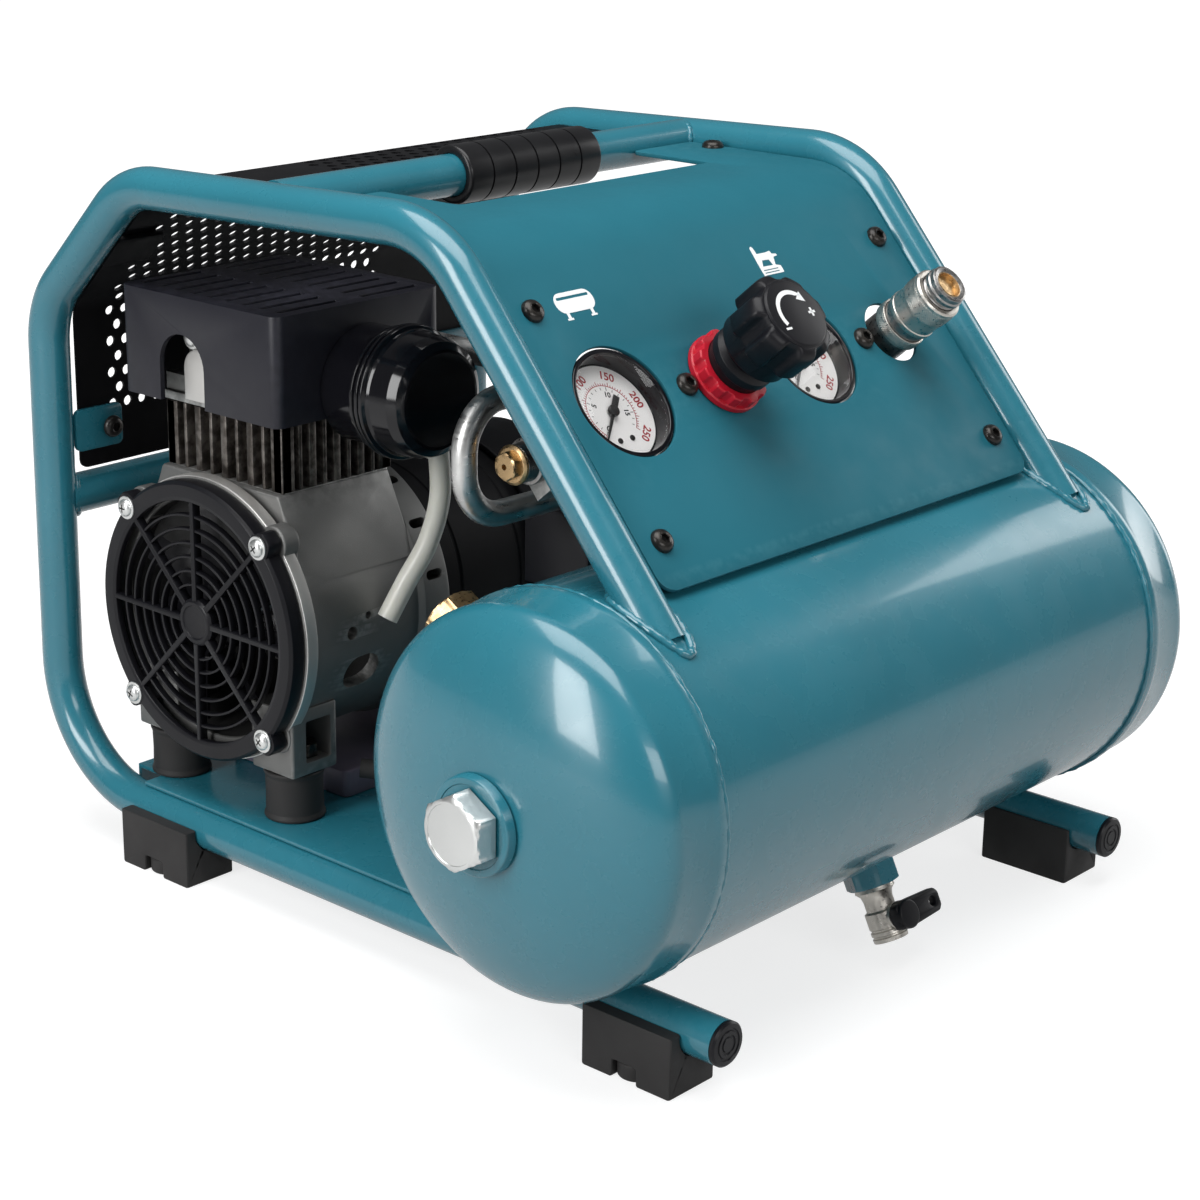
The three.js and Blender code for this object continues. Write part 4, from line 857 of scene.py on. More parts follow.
def build_tank():
    half = tank_profile()
    profile = [(r, -x) for r, x in reversed(half)] + half[1:]
    make("tank", lathe(profile, TANK, X, 128), PAINT, sharp=40,
         replaces=["tank_shell", "tank_head_left", "tank_head_right"])
    make("tank_seams", seam_ripple(), PAINT, sharp=80)
    for side, name in SIDES:
        plug = lathe(HEX_PLUG, TANK + X * side * BUNG_X, X * side, 96, across=Z)
        make(f"bung_plug_{name}", plug, ZINC, replaces=[f"tank_plug_{name}"])
    base, away = port("port_boss", "tank_port_plug", REAR_PORT)
    make("port_plug", lathe(hexagon(23.4, TANK_R + 5.2, TANK_R + 17, 1.6), base, away), BRASS,
         replaces=["tank_port_plug"])
    base, away = port("check_boss", "check_valve", CHECK_PORT)
    nut = lathe(hexagon(20.8, TANK_R + 5.2, TANK_R + 12, 1.2), base, away)
    top = lathe(disc(9, TANK_R + 11, TANK_R + 17, 0.8), base, away, 48)
    make("check_valve_body", together(nut, top), BRASS, replaces=["check_valve"])
    drain_valve()


def port(name, node, direction):
    """A welded boss under a node on the tank's back; gives the point of the tank's axis and the way out."""
    away = radial(direction)
    base = Vector((middle(node).x, TANK.y, TANK.z))
    make(name, lathe(disc(13, TANK_R - 3, TANK_R + 5, 1.0), base, away, 64), PAINT)
    return base, away


def drain_valve():
    away = radial(DRAIN_PORT)
    stem = Vector((0, away.z, -away.y))
    base = Vector((2.0, TANK.y, TANK.z))
    make("drain_boss", lathe(hexagon(20.8, TANK_R - 3, TANK_R + 9, 0.8), base, away), PAINT)
    outside = [(0, 9.2), (8.6, 9.2), (9.0, 10.6), (7.2, 12.4), (6.6, 15), (6.6, 19.5), (7.9, 20.3),
               (7.9, 27.2), (7.3, 27.6), (7.3, 28.3), (7.9, 28.7), (7.9, 30.2), (7.3, 30.6), (7.3, 31.2),
               (7.9, 31.6), (7.7, 33.3), (6.2, 33.5), (5.2, 33.0), (5.0, 28), (0, 28)]
    body = lathe([(r, TANK_R + height) for r, height in outside], base, away, 64)
    hub = base + away * (TANK_R + 24)
    socket = lathe(disc(5.8, 0, 7.7, 0.4), hub, stem, 48)
    make("drain_body", together(body, socket), NICKEL, replaces=["drain_valve_body"])
    handle = [(-6.2, -5.6), (4, -6), (22, -5.2), (24, -3), (24, 3), (22, 5.2), (4, 6), (-6.2, 5.6)]
    lever = flat([rounded(handle, 2.2, True), circle(18.6, 0, 2.2, 24)], 9.0, 13.4, 0.8)
    pivot = lathe(disc(6.4, 8, 15, 1.0), sides=48)
    make("drain_lever", moved(together(lever, pivot), turned_to(stem, X, hub)), SATIN_BLACK,
         body="drain_lever", replaces=["drain_valve_lever"])


# ---------------------------------------------------------------- control panel
HOLE_X = {"tank_gauge": -92.0, "regulator": -31.0, "outlet_gauge": 30.0, "coupler": 87.5}
HOLE_R = {"tank_gauge": 25.5, "regulator": 16.0, "outlet_gauge": 25.5, "coupler": 14.8}
PANEL_REAR_Y = 44.0
PANEL_BEND = 46.0
NOTCH_DEPTH = 47.0
NOTCH_X = (-80.0, 84.0)
TOP_SCREW = (120.5, 25.0)


def panel_sheet():
    """The panel's flat pattern: rim with a notch for the grip, and four round holes."""
    points = [(PANEL_FOOT.y, PANEL_FOOT.z), (PANEL_ORIGIN.y + DOWN.y * PANEL_TOP_AT, PANEL_TOP_Z),
              (PANEL_REAR_Y, PANEL_TOP_Z)]
    fold = Fold(points, [0, PANEL_BEND, 0], 1)
    half = (PANEL_HIGH.x - PANEL_LOW.x) / 2
    end = fold.length
    notch = end - NOTCH_DEPTH
    left, right = NOTCH_X
    rim = [(-half, 0), (half, 0), (half, end), (right, end), (right, notch), (left, notch), (left, end),
           (-half, end)]
    outlines = [rounded(rim, [8, 8, 3, 3, 4, 4, 3, 3], True, 6)]
    for name, x in HOLE_X.items():
        outlines.append(circle(x, PANEL_LENGTH - DIAL_ROW, HOLE_R[name], 72))
    return folded(outlines, PANEL_SHEET, fold, 0.35)


def button_screw():
    """Button-head screw with a hexagon socket, standing on z = 0."""
    profile = [(0, 1.3), (1.9, 1.3, 3), (1.95, 2.9, 3), (2.5, 3.15), (3.4, 3.0), (4.4, 2.35), (5.0, 1.4),
               (5.25, 0.5), (5.2, 0.0), (0, 0.0)]
    return lathe(profile, sides=48)


def place_screws(name, spots):
    for k, (point, axis) in enumerate(spots):
        make(f"{name}_{k + 1}", moved(button_screw(), turned_to(axis, X, point)), BLACK_OXIDE)


def at_hole(name):
    """The axis of one of the panel's round holes, standing on the panel's face."""
    return turned_to(OUT, X, on_slope(HOLE_X[name], DIAL_ROW))


def printed(*outlines):
    """A thin white print: a rim and the holes in it."""
    return flat(outlines, 0.02, 0.14, 0)


def icon_tank():
    shapes = [printed(rectangle(-11.2, 11.2, -3.2, 6.2, 4.4, 8), rectangle(-9.4, 9.4, 3.0, 4.3, 0.6, 3))]
    for half, low, high in ((0.8, -5.6, -3.0), (1.7, -6.4, -5.5)):
        shapes += [printed(rectangle(x - half, x + half, low, high)) for x in (-7, 7)]
    return together(*shapes)


def icon_tool():
    """A nailer seen from the side: handle, head, nose and magazine."""
    outline = [(0, 0), (0.6, 2), (13.6, 2), (13.6, 5.4), (10.6, 6.2), (12, 10), (14.8, 10.3), (14.8, 11.2),
               (12, 11.6), (11.5, 13.2), (8, 12.8), (2.5, 12.8), (2.2, 16), (1.2, 17), (0.1, 16), (-0.2, 6)]
    window = [(2.2, 6.4), (9, 6.2), (8.2, 9.2), (3.6, 9.4)]
    slots = [rectangle(1.3, 11.2, y, y + 0.5) for y in (2.9, 4.2)]
    return printed(rounded(outline, 0.35, True, 2), window, *slots)


def build_panel():
    make("panel_sheet", panel_sheet(), PANEL_PAINT, sharp=25, replaces=["control_panel"])
    upper, lower = PANEL_SCREWS_DOWN
    places = ((-114.5, upper), (114.5, upper), (-114, lower), (114, lower), (-54, DIAL_ROW), (66.6, DIAL_ROW))
    spots = [(on_slope(x, down), OUT) for x, down in places]
    spots += [(Vector((side * TOP_SCREW[0], TOP_SCREW[1], PANEL_TOP_Z)), Z) for side, _ in SIDES]
    place_screws("panel_screw", spots)
    for name, shape, x, down in (("tank", icon_tank(), -89.3, 44.8), ("tool", icon_tool(), 28.0, 52.7)):
        make(f"{name}_symbol", moved(shape, turned_to(OUT, X, on_slope(x, down))), WHITE_PRINT)
    for name in ("tank_gauge", "outlet_gauge"):
        gauge(name)
    regulator()
    coupler()
    safety_valve()
    keep("manifold", CAST, 1.0)


# ---------------------------------------------------------------- gauges
def lettering(text, size, angle, radius):
    """A number on the dial, its top outwards; angle is anticlockwise from +X."""
    curve = bpy.data.curves.new("lettering", "FONT")
    curve.body = text
    curve.size = size
    curve.align_x = "CENTER"
    curve.align_y = "CENTER"
    curve.extrude = 0.03
    curve.offset = 0.1
    curve.resolution_u = 3
    holder = bpy.data.objects.new("lettering", curve)
    bpy.context.scene.collection.objects.link(holder)
    mesh = bpy.data.meshes.new_from_object(holder.evaluated_get(bpy.context.evaluated_depsgraph_get()))
    vertices = [v.co.copy() for v in mesh.vertices]
    faces = [tuple(p.vertices) for p in mesh.polygons]
    bpy.data.objects.remove(holder)
    bpy.data.meshes.remove(mesh)
    turn = Matrix.Rotation(angle - math.pi / 2, 4, "Z")
    spot = Matrix.Translation((radius * math.cos(angle), radius * math.sin(angle), 0.05))
    return [spot @ turn @ v for v in vertices], faces


def dial_angle(share):
    """Zero is at lower left and full scale at lower right, clockwise."""
    return math.radians(225 - 270 * share)


def tick(share, inner, outer, width):
    shape = flat([rectangle(inner, outer, -width / 2, width / 2)], 0.0, 0.08, 0)
    return moved(shape, Matrix.Rotation(dial_angle(share), 4, "Z"))


def arc_band(radius, width):
    rims = [circle(0, 0, r, 48, dial_angle(1), dial_angle(0)) for r in (radius + width, radius)]
    return flat([rims[0] + rims[1][::-1]], 0.0, 0.08, 0)


DIAL_DEPTH = -9.5


def gauge(name):
    where = at_hole(name)
    case = [(0, -27), (20, -27), (24.8, -24), (24.8, -0.8), (22.9, -0.8), (22.3, -9.8), (0, -9.8)]
    socket = lathe(hexagon(14, -39.6, -26.5, 1), sides=48)
    bezel = together(lathe(rounded(case, 0.5), sides=96), socket)
    make(f"{name}_bezel", moved(bezel, where), GLOSS_BLACK, sharp=45, replaces=[f"{name}_case"])
    face = where @ Matrix.Translation((0, 0, DIAL_DEPTH))
    make(f"{name}_dial", moved(flat([circle(0, 0, 21.8, 96)], -0.15, 0.02, 0), face), DIAL_WHITE)
    red = [lettering(str(50 * k), 5.2, dial_angle(k / 5), 17.3) for k in range(6)]
    red += [tick(k / 50, 12.6, 14.4 if k % 5 == 0 else 13.6, 0.3) for k in range(51)]
    red.append(arc_band(12.4, 0.3))
    make(f"{name}_outer_scale", moved(together(*red), face), DIAL_RED)
    black = [lettering(str(5 * k), 3.4, dial_angle(k * 0.29), 8.4) for k in range(4)]
    black += [tick(k * 0.058, 10.4, 12.1 if k % 5 == 0 else 11.5, 0.28) for k in range(18)]
    black += [flat([circle(x, -12.6, 1.25, 20)], 0.0, 0.5, 0.1) for x in (-3.6, 3.6)]
    make(f"{name}_inner_scale", moved(together(*black), face), DIAL_BLACK)
    needle = [(-0.35, -16.5), (0.35, -16.5), (0.9, -1), (1.5, 2), (1.5, 8.2), (-1.5, 8.2), (-1.5, 2),
              (-0.9, -1)]
    at_zero = Matrix.Rotation(-math.pi / 4, 4, "Z")
    blade = moved(flat([rounded(needle, 0.15, True, 2)], 1.4, 1.9, 0.1), at_zero)
    boss = lathe(disc(2.6, 0.9, 2.6, 0.5), sides=32)
    make(f"{name}_needle", moved(together(blade, boss), face), DIAL_BLACK, body=f"{name}_needle",
         replaces=[f"{name}_pointer"])
    lens = rounded([(0, -2.0), (22.0, -2.0), (22.0, -1.0), (14, -0.5), (0, -0.3)], 0.2)
    make(f"{name}_lens", moved(lathe(lens), where), LENS)


# ---------------------------------------------------------------- regulator, coupler, safety valve
KNOB_TOP = 49.5


def fluted(rows, count, hollow, sides=168):
    """A closed ring of rows (radius, height, depth of its hollows); hollow is how broad they are."""
    vertices = []
    for radius, height, depth in rows:
        for j in range(sides):
            angle = 2 * math.pi * j / sides
            wave = 0.5 - 0.5 * math.cos(count * angle)
            r = radius - depth * min(1.0, max(0.0, (wave - 1 + hollow) / 0.35))
            vertices.append((r * math.cos(angle), r * math.sin(angle), height))
    return vertices, grid(len(rows), sides, True)


def knob_shape():
    """Seven broad flat lobes over a round skirt, with a flat disc on top."""
    rows = [(14.9, 22.0, 0), (16.2, 22.0, 0), (16.6, 22.5, 0), (16.6, 30.6, 0), (19.2, 31.0, 2.4),
            (20.3, 32.0, 3.5), (20.3, 44.0, 3.5), (20.0, 45.8, 3.2), (19.0, 47.4, 2.3), (17.4, 48.3, 1.0),
            (16.4, 48.6, 0), (15.8, 48.6, 0), (15.6, 48.9, 0), (15.2, 49.4, 0), (14.8, KNOB_TOP, 0),
            (0, KNOB_TOP, 0), (0, 30.0, 0), (14.9, 30.0, 0)]
    return fluted(rows, 7, 0.55)


def knob_print():
    """White turning arrow with a plus and a minus."""
    outer = circle(0, 0, 10.6, 36, math.radians(40), math.radians(205))
    inner = circle(0, 0, 8.6, 36, math.radians(60), math.radians(205))
    arrow = ((11.8, 0.85), (9.6, 0.42), (7.2, 0.95))
    tip = [(r * math.cos(angle), r * math.sin(angle)) for r, angle in arrow]
    plus = [rectangle(7.0, 11.0, -1.6, -0.5), rectangle(8.45, 9.55, -3.05, 0.95)]
    minus = rectangle(-11.0, -7.6, -6.4, -5.4)
    return together(*(flat([outline], 0.0, 0.1, 0) for outline in (outer + inner[::-1], tip, *plus, minus)))


def regulator():
    where = at_hole("regulator")
    bonnet = [(0, -30), (13.6, -30), (13.6, 12), (14.8, 12.6), (14.8, 16.4), (12.6, 19.0), (4.6, 19.0),
              (4.6, 17.5), (0, 17.5)]
    make("regulator_bonnet", moved(lathe(rounded(bonnet, 0.6)), where), SATIN_BLACK,
         replaces=["regulator_body"])
    rows = [(13.8, 0.3, 0), (17.8, 0.3, 0), (18.2, 0.7, 0), (18.2, 2.8, 0), (17.8, 3.2, 0), (17.6, 3.4, 1.0),
            (17.6, 8.0, 1.4), (17.1, 8.6, 1.2), (15.4, 8.7, 0), (13.8, 8.7, 0)]
    make("panel_ring", moved(fluted(rows, 12, 0.6, 192), where), RED, replaces=["regulator_ring"])
    knob = {"body": "regulator_knob"}
    make("knob", moved(knob_shape(), where), SATIN_BLACK, sharp=50, replaces=["regulator_knob"], **knob)
    make("knob_print", moved(knob_print(), where @ Matrix.Translation((0, 0, KNOB_TOP))), WHITE_PRINT, **knob)
    keep("regulator_spindle", STEEL, 0.3)


def knurl(radius, low, high, rows):
    """A closed ring whose outside is a band of fine diamond knurling."""
    count, depth = 72, 0.3
    sides = 4 * count
    vertices = []
    for i in range(-1, rows + 2):
        height = low + (high - low) * min(max(i, 0), rows) / rows
        for j in range(sides):
            turn = j / sides
            a = abs(((turn * count + i * 0.5) % 1.0) - 0.5)
            b = abs(((turn * count - i * 0.5) % 1.0) - 0.5)
            r = radius - depth * (1 - 2 * max(a, b)) if 0 < i < rows else radius - depth
            if i in (-1, rows + 1):
                r = radius - 1.0
            angle = 2 * math.pi * turn
            vertices.append((r * math.cos(angle), r * math.sin(angle), height))
    return vertices, grid(rows + 3, sides, True)


def coupler():
    """Quick coupler: stem, fixed knurled collar and nose, with a sliding sleeve between them."""
    where = at_hole("coupler")
    stem = [(0, -39.6), (8.6, -39.6), (8.6, -6), (10.9, -6), (10.9, 13), (10.7, 17), (9.2, 17.4), (9.2, 33.2),
            (8.4, 33.8), (8.4, 34.6), (9.8, 35.2), (9.8, 36.8), (9.2, 37.4), (9.2, 39.6), (8.2, 40),
            (6.4, 39.4), (6.0, 37), (0, 37)]
    make("coupler_stem", moved(lathe(rounded(stem, 0.2), sides=80), where), DARK_NICKEL,
         replaces=["coupler_body"])
    collar = lathe(rectangle(11.0, 12.0, 3.8, 9.3, 0.3), sides=96, closed=True)
    make("coupler_ring", moved(together(collar, knurl(12.25, 4.4, 8.9, 6)), where), NICKEL, sharp=15)
    seat = [(0, 37.1), (5.4, 37.1), (5.4, 37.3), (0, 37.3)]
    make("coupler_seat", moved(lathe(seat, sides=48), where), BRASS)
    bore = [(6.1, 37.2), (6.5, 39.3), (5.9, 39.5), (5.4, 37.2)]
    make("coupler_bore", moved(lathe(bore, sides=64, closed=True), where), BRASS)
    sleeve = [(11.2, 13.6), (12.1, 13.6), (12.1, 15.6), (11.7, 16.0), (11.7, 22.2), (12.1, 22.6),
              (12.1, 32.0), (11.3, 32.8), (9.5, 32.8), (9.5, 21.6), (11.2, 21.6)]
    make("coupler_collar", moved(lathe(rounded(sleeve, 0.15, True, 3), sides=96, closed=True), where), NICKEL,
         body="coupler_sleeve", replaces=["coupler_sleeve"])
    make("coupler_knurl", moved(knurl(12.35, 23.0, 31.0, 10), where), NICKEL, body="coupler_sleeve", sharp=15)


def safety_valve():
    pull = middle("safety_valve_pull")
    centre = Vector((0, pull.y, pull.z))
    body = rounded([(0, 98.3), (10, 98.3), (10, 102.6), (8.2, 103), (8.2, 109), (0, 109)], 0.5)
    make("safety_body", lathe(body, centre, -X, 64), DARK_NICKEL, replaces=["safety_valve"])
    cap = rounded([(0, 109.3), (8.4, 109.3), (8.6, 110.6), (7.2, 111.6), (0, 111.6)], 0.5)
    dome = [(0, 110.5), (5.5, 110.5, 7), (5.5, 114.2, 7), (5.5, 114.9, 6), (5.2, 115.4), (3.6, 115.5),
            (1.3, 115.5), (1.3, 113), (0, 113)]
    make("safety_pull", together(lathe(cap, centre, -X, 64), lathe(dome, centre, -X, 72, across=Z)), BRASS,
         body="safety_valve_pull", replaces=["safety_valve_pull"])


# ---------------------------------------------------------------- rear cover
HOLE_PITCH = 8.7
HOLE_RADIUS = 2.5
FIRST_ROW = 28.0
SLOPE_SCREW_AT = 123.0
COVER_SCREW_X = 118
COVER_NUT_X = 112
COVER_LOWER_Z = 175
COVER_FRONT_Y = 94
COVER_BEND = 18
SCREW_CLEAR = 9.0
SCREW_CLEAR_X = 109.0
HOLES_TO_X = 108.0
BACK_HOLES_TO_X = 64.0
TOP_HOLES_FROM_X = -53.0


def cover_holes(fold, half):
    """Round holes in a triangular pattern: one field over the back and the slope, another over the top."""
    row_pitch = HOLE_PITCH * math.sqrt(3) / 2
    top_start = fold.runs[-1][0]
    holes = []
    rows = int((fold.length - 8 - FIRST_ROW) / row_pitch) + 1
    columns = int(2 * (half - 13) / HOLE_PITCH) + 1
    for i in range(rows):
        shift = 0.25 * HOLE_PITCH if i % 2 else -0.25 * HOLE_PITCH
        along = FIRST_ROW + i * row_pitch
        back = along < top_start - 4
        start, end = (-HOLES_TO_X, BACK_HOLES_TO_X) if back else (TOP_HOLES_FROM_X, HOLES_TO_X)
        screw_row = abs(along - SLOPE_SCREW_AT) <= SCREW_CLEAR
        for k in range(columns):
            x = (k - (columns - 1) / 2) * HOLE_PITCH + shift
            if start < x < end and not (screw_row and abs(x) >= SCREW_CLEAR_X):
                holes.append(circle(x, along, HOLE_RADIUS, 12))
    return holes


def build_rear_cover():
    path = [(COVER_REAR_Y, COVER_LOWER_Z), (COVER_REAR_Y, COVER_SLOPE_SUM - COVER_REAR_Y),
            (COVER_SLOPE_SUM - COVER_TOP_Z, COVER_TOP_Z), (COVER_FRONT_Y, COVER_TOP_Z)]
    fold = Fold(path, [0, COVER_BEND, COVER_BEND, 0], -1)
    half = corners("rear_cover")[1].x
    rim = rectangle(-half, half, 0, fold.length, 4)
    sheet = folded([rim, *cover_holes(fold, half)], COVER_SHEET, fold, 0)
    make("perforated_cover", sheet, BLACK_COAT, sharp=25, replaces=["rear_cover"])
    spots = [(Vector((side * COVER_SCREW_X, COVER_REAR_Y, COVER_SCREW_Z)), Y) for side, _ in SIDES]
    slope_z = COVER_SLOPE_SUM - COVER_SCREW_Y
    spots += [(Vector((side * COVER_SCREW_X, COVER_SCREW_Y, slope_z)), Y + Z) for side, _ in SIDES]
    place_screws("cover_screw", spots)
    nuts = [(Vector((side * COVER_NUT_X, COVER_REAR_Y - 7, COVER_SCREW_Z)), -Y) for side, _ in SIDES]
    place_screws("cover_nut", nuts)


# ---------------------------------------------------------------- pump
CASE_LEFT = -133.0
CASE_RIGHT = -40.0
CASE_TOP = 188.0
CRANK_ROOM_R = 57.0
GUARD_SCREW_R = 63.6
CORNERS = [math.radians(45 + 90 * k) for k in range(4)]


def from_shaft(y, z):
    return SHAFT + Vector((0, y, z))


def on_axis(x):
    """The point of the shaft's line at x."""
    return SHAFT + X * x


def guard_screw_spot(angle):
    """Middle of one of the guard's four screws, in the plane of the shaft's origin."""
    return from_shaft(GUARD_SCREW_R * math.sin(angle), GUARD_SCREW_R * math.cos(angle))


def boolean(target, cutters, operation):
    """Joins or cuts target with the other pieces, which are then removed."""
    for cutter in cutters:
        modifier = target.modifiers.new("cut", "BOOLEAN")
        modifier.operation = operation
        modifier.solver = "EXACT"
        modifier.object = cutter
    shaped = bpy.data.meshes.new_from_object(target.evaluated_get(bpy.context.evaluated_depsgraph_get()))
    target.modifiers.clear()
    target.data = shaped
    for cutter in cutters:
        bpy.data.objects.remove(cutter)
    shaped.polygons.foreach_set("use_smooth", [True] * len(shaped.polygons))
    shaped.set_sharp_from_angle(angle=math.radians(32))


def rod_cutter(name, point, axis, radius, length, stretch=1.0):
    """A round or long-hole cutter."""
    outline = circle(0, 0, radius, 40)
    outline = [(x + math.copysign(radius * (stretch - 1), x) if abs(x) > 0.01 else x, y) for x, y in outline]
    shape = flat([outline], -length, length, 0)
    return make(name, moved(shape, turned_to(axis, X, point)), PAINTED_SHADE_BLACK)


def crankcase_parts():
    x0 = CASE_LEFT
    drum = [(55.5, x0), (66, x0), (66, x0 + 7), (62.2, x0 + 9), (61.2, -70), (61.2, -60), (63.5, -57),
            (63.5, -42), (61, CASE_RIGHT), (50, CASE_RIGHT), (50, -58), (9, -58), (9, -64), (55.5, -64)]
    casting = lathe(rounded(drum, 1.2, True, 3), SHAFT, X, 128, closed=True)
    body = make("crankcase_casting", casting, BLASTED_CAST_PAINTED_SHADE, replaces=["crankcase"])
    rise = CASE_TOP - SHAFT.z
    pedestal = [(-39, rise), (-56.3, 25.9), (56.3, 25.9), (40, rise)]
    side = flat([rounded(pedestal, [2.2, 0, 0, 2.2], True)], -124, -57, 1.2)
    joined = [make("pedestal", moved(side, turned_to(X, Y, SHAFT)), CAST)]
    for k, y in enumerate(PUMP_FEET_Y):
        foot = block((x0 + 0.8, y - 14, PUMP_FEET_Z), (x0 + 28, y + 14, 92), 1.6)
        joined.append(make(f"case_foot_{k}", foot, CAST))
    lug = rounded([(0, 0), (8.2, 0), (8.2, 8), (7, 10), (0, 10)], 1.0)
    for k, angle in enumerate(CORNERS):
        spot = guard_screw_spot(angle) + X * (x0 + 0.02)
        joined.append(make(f"case_lug_{k}", lathe(lug, spot, X, 40), CAST))
    boolean(body, joined, "UNION")
    boolean(body, crankcase_cutters(), "DIFFERENCE")
    paint_shade_inside(body)


def crankcase_cutters():
    """Cylinder bore, two oval windows, two small holes, a ring of slots and the pockets over the feet."""
    cutters = [rod_cutter("bore_cut", Vector((CYLINDER.x, CYLINDER.y, 180)), Z, 29, 20)]
    for name, away in (("oval_cut", Vector((0, -1, -0.36))), ("rear_cut", Vector((0, 1, -0.36)))):
        cutters.append(rod_cutter(name, on_axis(-93.5) + away * 60, away, 8.6, 14, 1.25))
    front = Vector((0, -1, 0.02))
    for name, x, z, radius in (("round_cut", -101.8, 0, 3.1), ("small_cut", -91.5, 6, 1.8)):
        cutters.append(rod_cutter(name, from_shaft(-61, z) + X * x, front, radius, 8))
    for k in range(16):
        angle = math.radians(22.5 * k + 8)
        away = Vector((0, math.cos(angle), math.sin(angle)))
        cutters.append(rod_cutter(f"slot_cut_{k}", on_axis(-50) + away * 60, away, 2.3, 7, 2.2))
    for k, (y, before, behind) in enumerate(zip(PUMP_FEET_Y, (20, 6), (6, 20))):
        pocket = block((-124, y - before, 66), (-109, y + behind, 86), 1.5)
        cutters.append(make(f"pocket_{k}", pocket, PAINTED_SHADE_BLACK))
    return cutters


def paint_shade_inside(piece):
    """The room round the crank gets painted shade: its faces take the near-black painted-shade material."""
    piece.data.materials.append(PAINTED_SHADE_BLACK)
    for polygon in piece.data.polygons:
        spot = polygon.center / MM - SHAFT
        if math.hypot(spot.y, spot.z) < CRANK_ROOM_R and spot.x > GUARD_X + 12:
            polygon.material_index = 1


def case_trim():
    """The flange under the cylinder, a thin ring over the drum's edge at the guard coloured bright as a
    painted highlight, and the bolts in the feet.
    """
    plate = [rectangle(-120.6, -55.4, 66.4, 144.6, 3.0), circle(CYLINDER.x, CYLINDER.y, 29.5, 64)]
    make("case_flange", flat(plate, CASE_TOP - 1.6, CASE_TOP + 0.2, 0.4), CAST)
    rim = rectangle(65.2, 66.2, 0.4, 6.6, 0.4)
    # The ring sits over the drum's flange; its bright colour is a painted highlight.
    make("case_rim_painted_highlight", lathe(rim, on_axis(CASE_LEFT), X, 160, closed=True), CAST_PAINTED_LIGHT)
    for k, y in enumerate((60.0, 150.0)):
        make(f"foot_bolt_{k + 1}", lathe(hexagon(10, 66.2, 72.5, 0.8), (-116.5, y, 0), sides=48), BLACK_OXIDE)


def guard_shape():
    """Fan guard: rim with a skirt, thin rings, eight spokes, a raised hub and four screw lugs."""
    rim = [(56.2, 0.4), (58, 0), (63.6, 0), (65, 1.4), (65, 8.1), (61.6, 8.1), (61.6, 3.8), (56.2, 3.4)]
    shapes = [lathe(rounded(rim, 0.5, True), sides=128, closed=True)]
    for k in range(6):
        radius = 17.4 + 6.45 * k
        shapes.append(lathe(rectangle(radius - 0.6, radius + 0.6, 0.9, 4.4, 0.35, 3), sides=96, closed=True))
    hub = [(0, 0.7), (7.6, 0.7), (8.0, 0), (9.6, 0), (11, 1.2), (11.2, 5.0), (0, 5.0)]
    shapes.append(lathe(rounded(hub, 0.4), sides=64))
    spoke = flat([rounded([(10, -1.5), (57.5, -1.2), (57.5, 1.2), (10, 1.5)], 0.4, True)], 0.3, 4.9, 0.5)
    shapes += [moved(spoke, Matrix.Rotation(k * math.pi / 4, 4, "Z")) for k in range(8)]
    lug = [(56.5, -10), (62.5, -7), (70.5, -4), (70.5, 4), (62.5, 7), (56.5, 10)]
    plate = flat([rounded(lug, 3.6, True, 6), circle(GUARD_SCREW_R, 0, 2.4, 24)], 0.2, 8.1, 0.7)
    shapes += [moved(plate, Matrix.Rotation(angle, 4, "Z")) for angle in CORNERS]
    return together(*shapes)


def cross_screw():
    """Pan-head screw with its washer, standing on z = 0."""
    head = lathe([(0, 3.0), (1.6, 3.05), (3.0, 2.6), (3.9, 1.7), (4.1, 0.9), (0, 0.9)], sides=40)
    return together(head, lathe(disc(5.4, 0, 0.9, 0.2), sides=40))


def build_guard():
    make("guard", moved(guard_shape(), turned_to(X, Y, on_axis(GUARD_X))), SATIN_BLACK, sharp=35,
         replaces=["fan_guard"])
    # A near-black cross sheet on each screw head: painted shade for the cross recess, which is not cut.
    arms = ((1.9, 0.35), (0.35, 1.9))
    cross = together(*(flat([rectangle(-a, a, -b, b)], 2.5, 3.08, 0) for a, b in arms))
    for k, angle in enumerate(CORNERS):
        spot = guard_screw_spot(angle) + X * (GUARD_X + 0.2)
        make(f"guard_screw_{k + 1}", moved(cross_screw(), turned_to(-X, Y, spot)), ZINC)
        make(f"guard_screw_cross_shade_{k + 1}", moved(cross, turned_to(-X, Y + Z * 0.4 * k, spot)), PAINTED_SHADE_BLACK)


def fan_blade():
    """One curved, twisted blade as a thin closed sheet."""
    count = 9
    last = count - 1
    vertices = []
    for face in (-0.8, 0.8):
        for i in range(count):
            out = i / last
            radius = 13 + 39 * out
            for j in range(count):
                across = j / last - 0.5
                angle = across * math.radians(34 - 10 * out) + 0.1 * out ** 2
                lift = -across * (13 - 4 * out) + 2.2 * (0.25 - across * across)
                vertices.append((lift + face, radius * math.sin(angle), radius * math.cos(angle)))
    size = count * count
    faces = []
    for i in range(last):
        for j in range(last):
            a = i * count + j
            faces.append((a, a + 1, a + count + 1, a + count))
            faces.append((a + size, a + size + count, a + size + count + 1, a + size + 1))
    border = list(range(count)) + [i * count + last for i in range(1, count)]
    border += [last * count + j for j in range(last - 1, -1, -1)]
    border += [i * count for i in range(last - 1, 0, -1)]
    for a, b in zip(border, border[1:] + border[:1]):
        faces.append((a, b, b + size, a + size))
    return vertices, faces


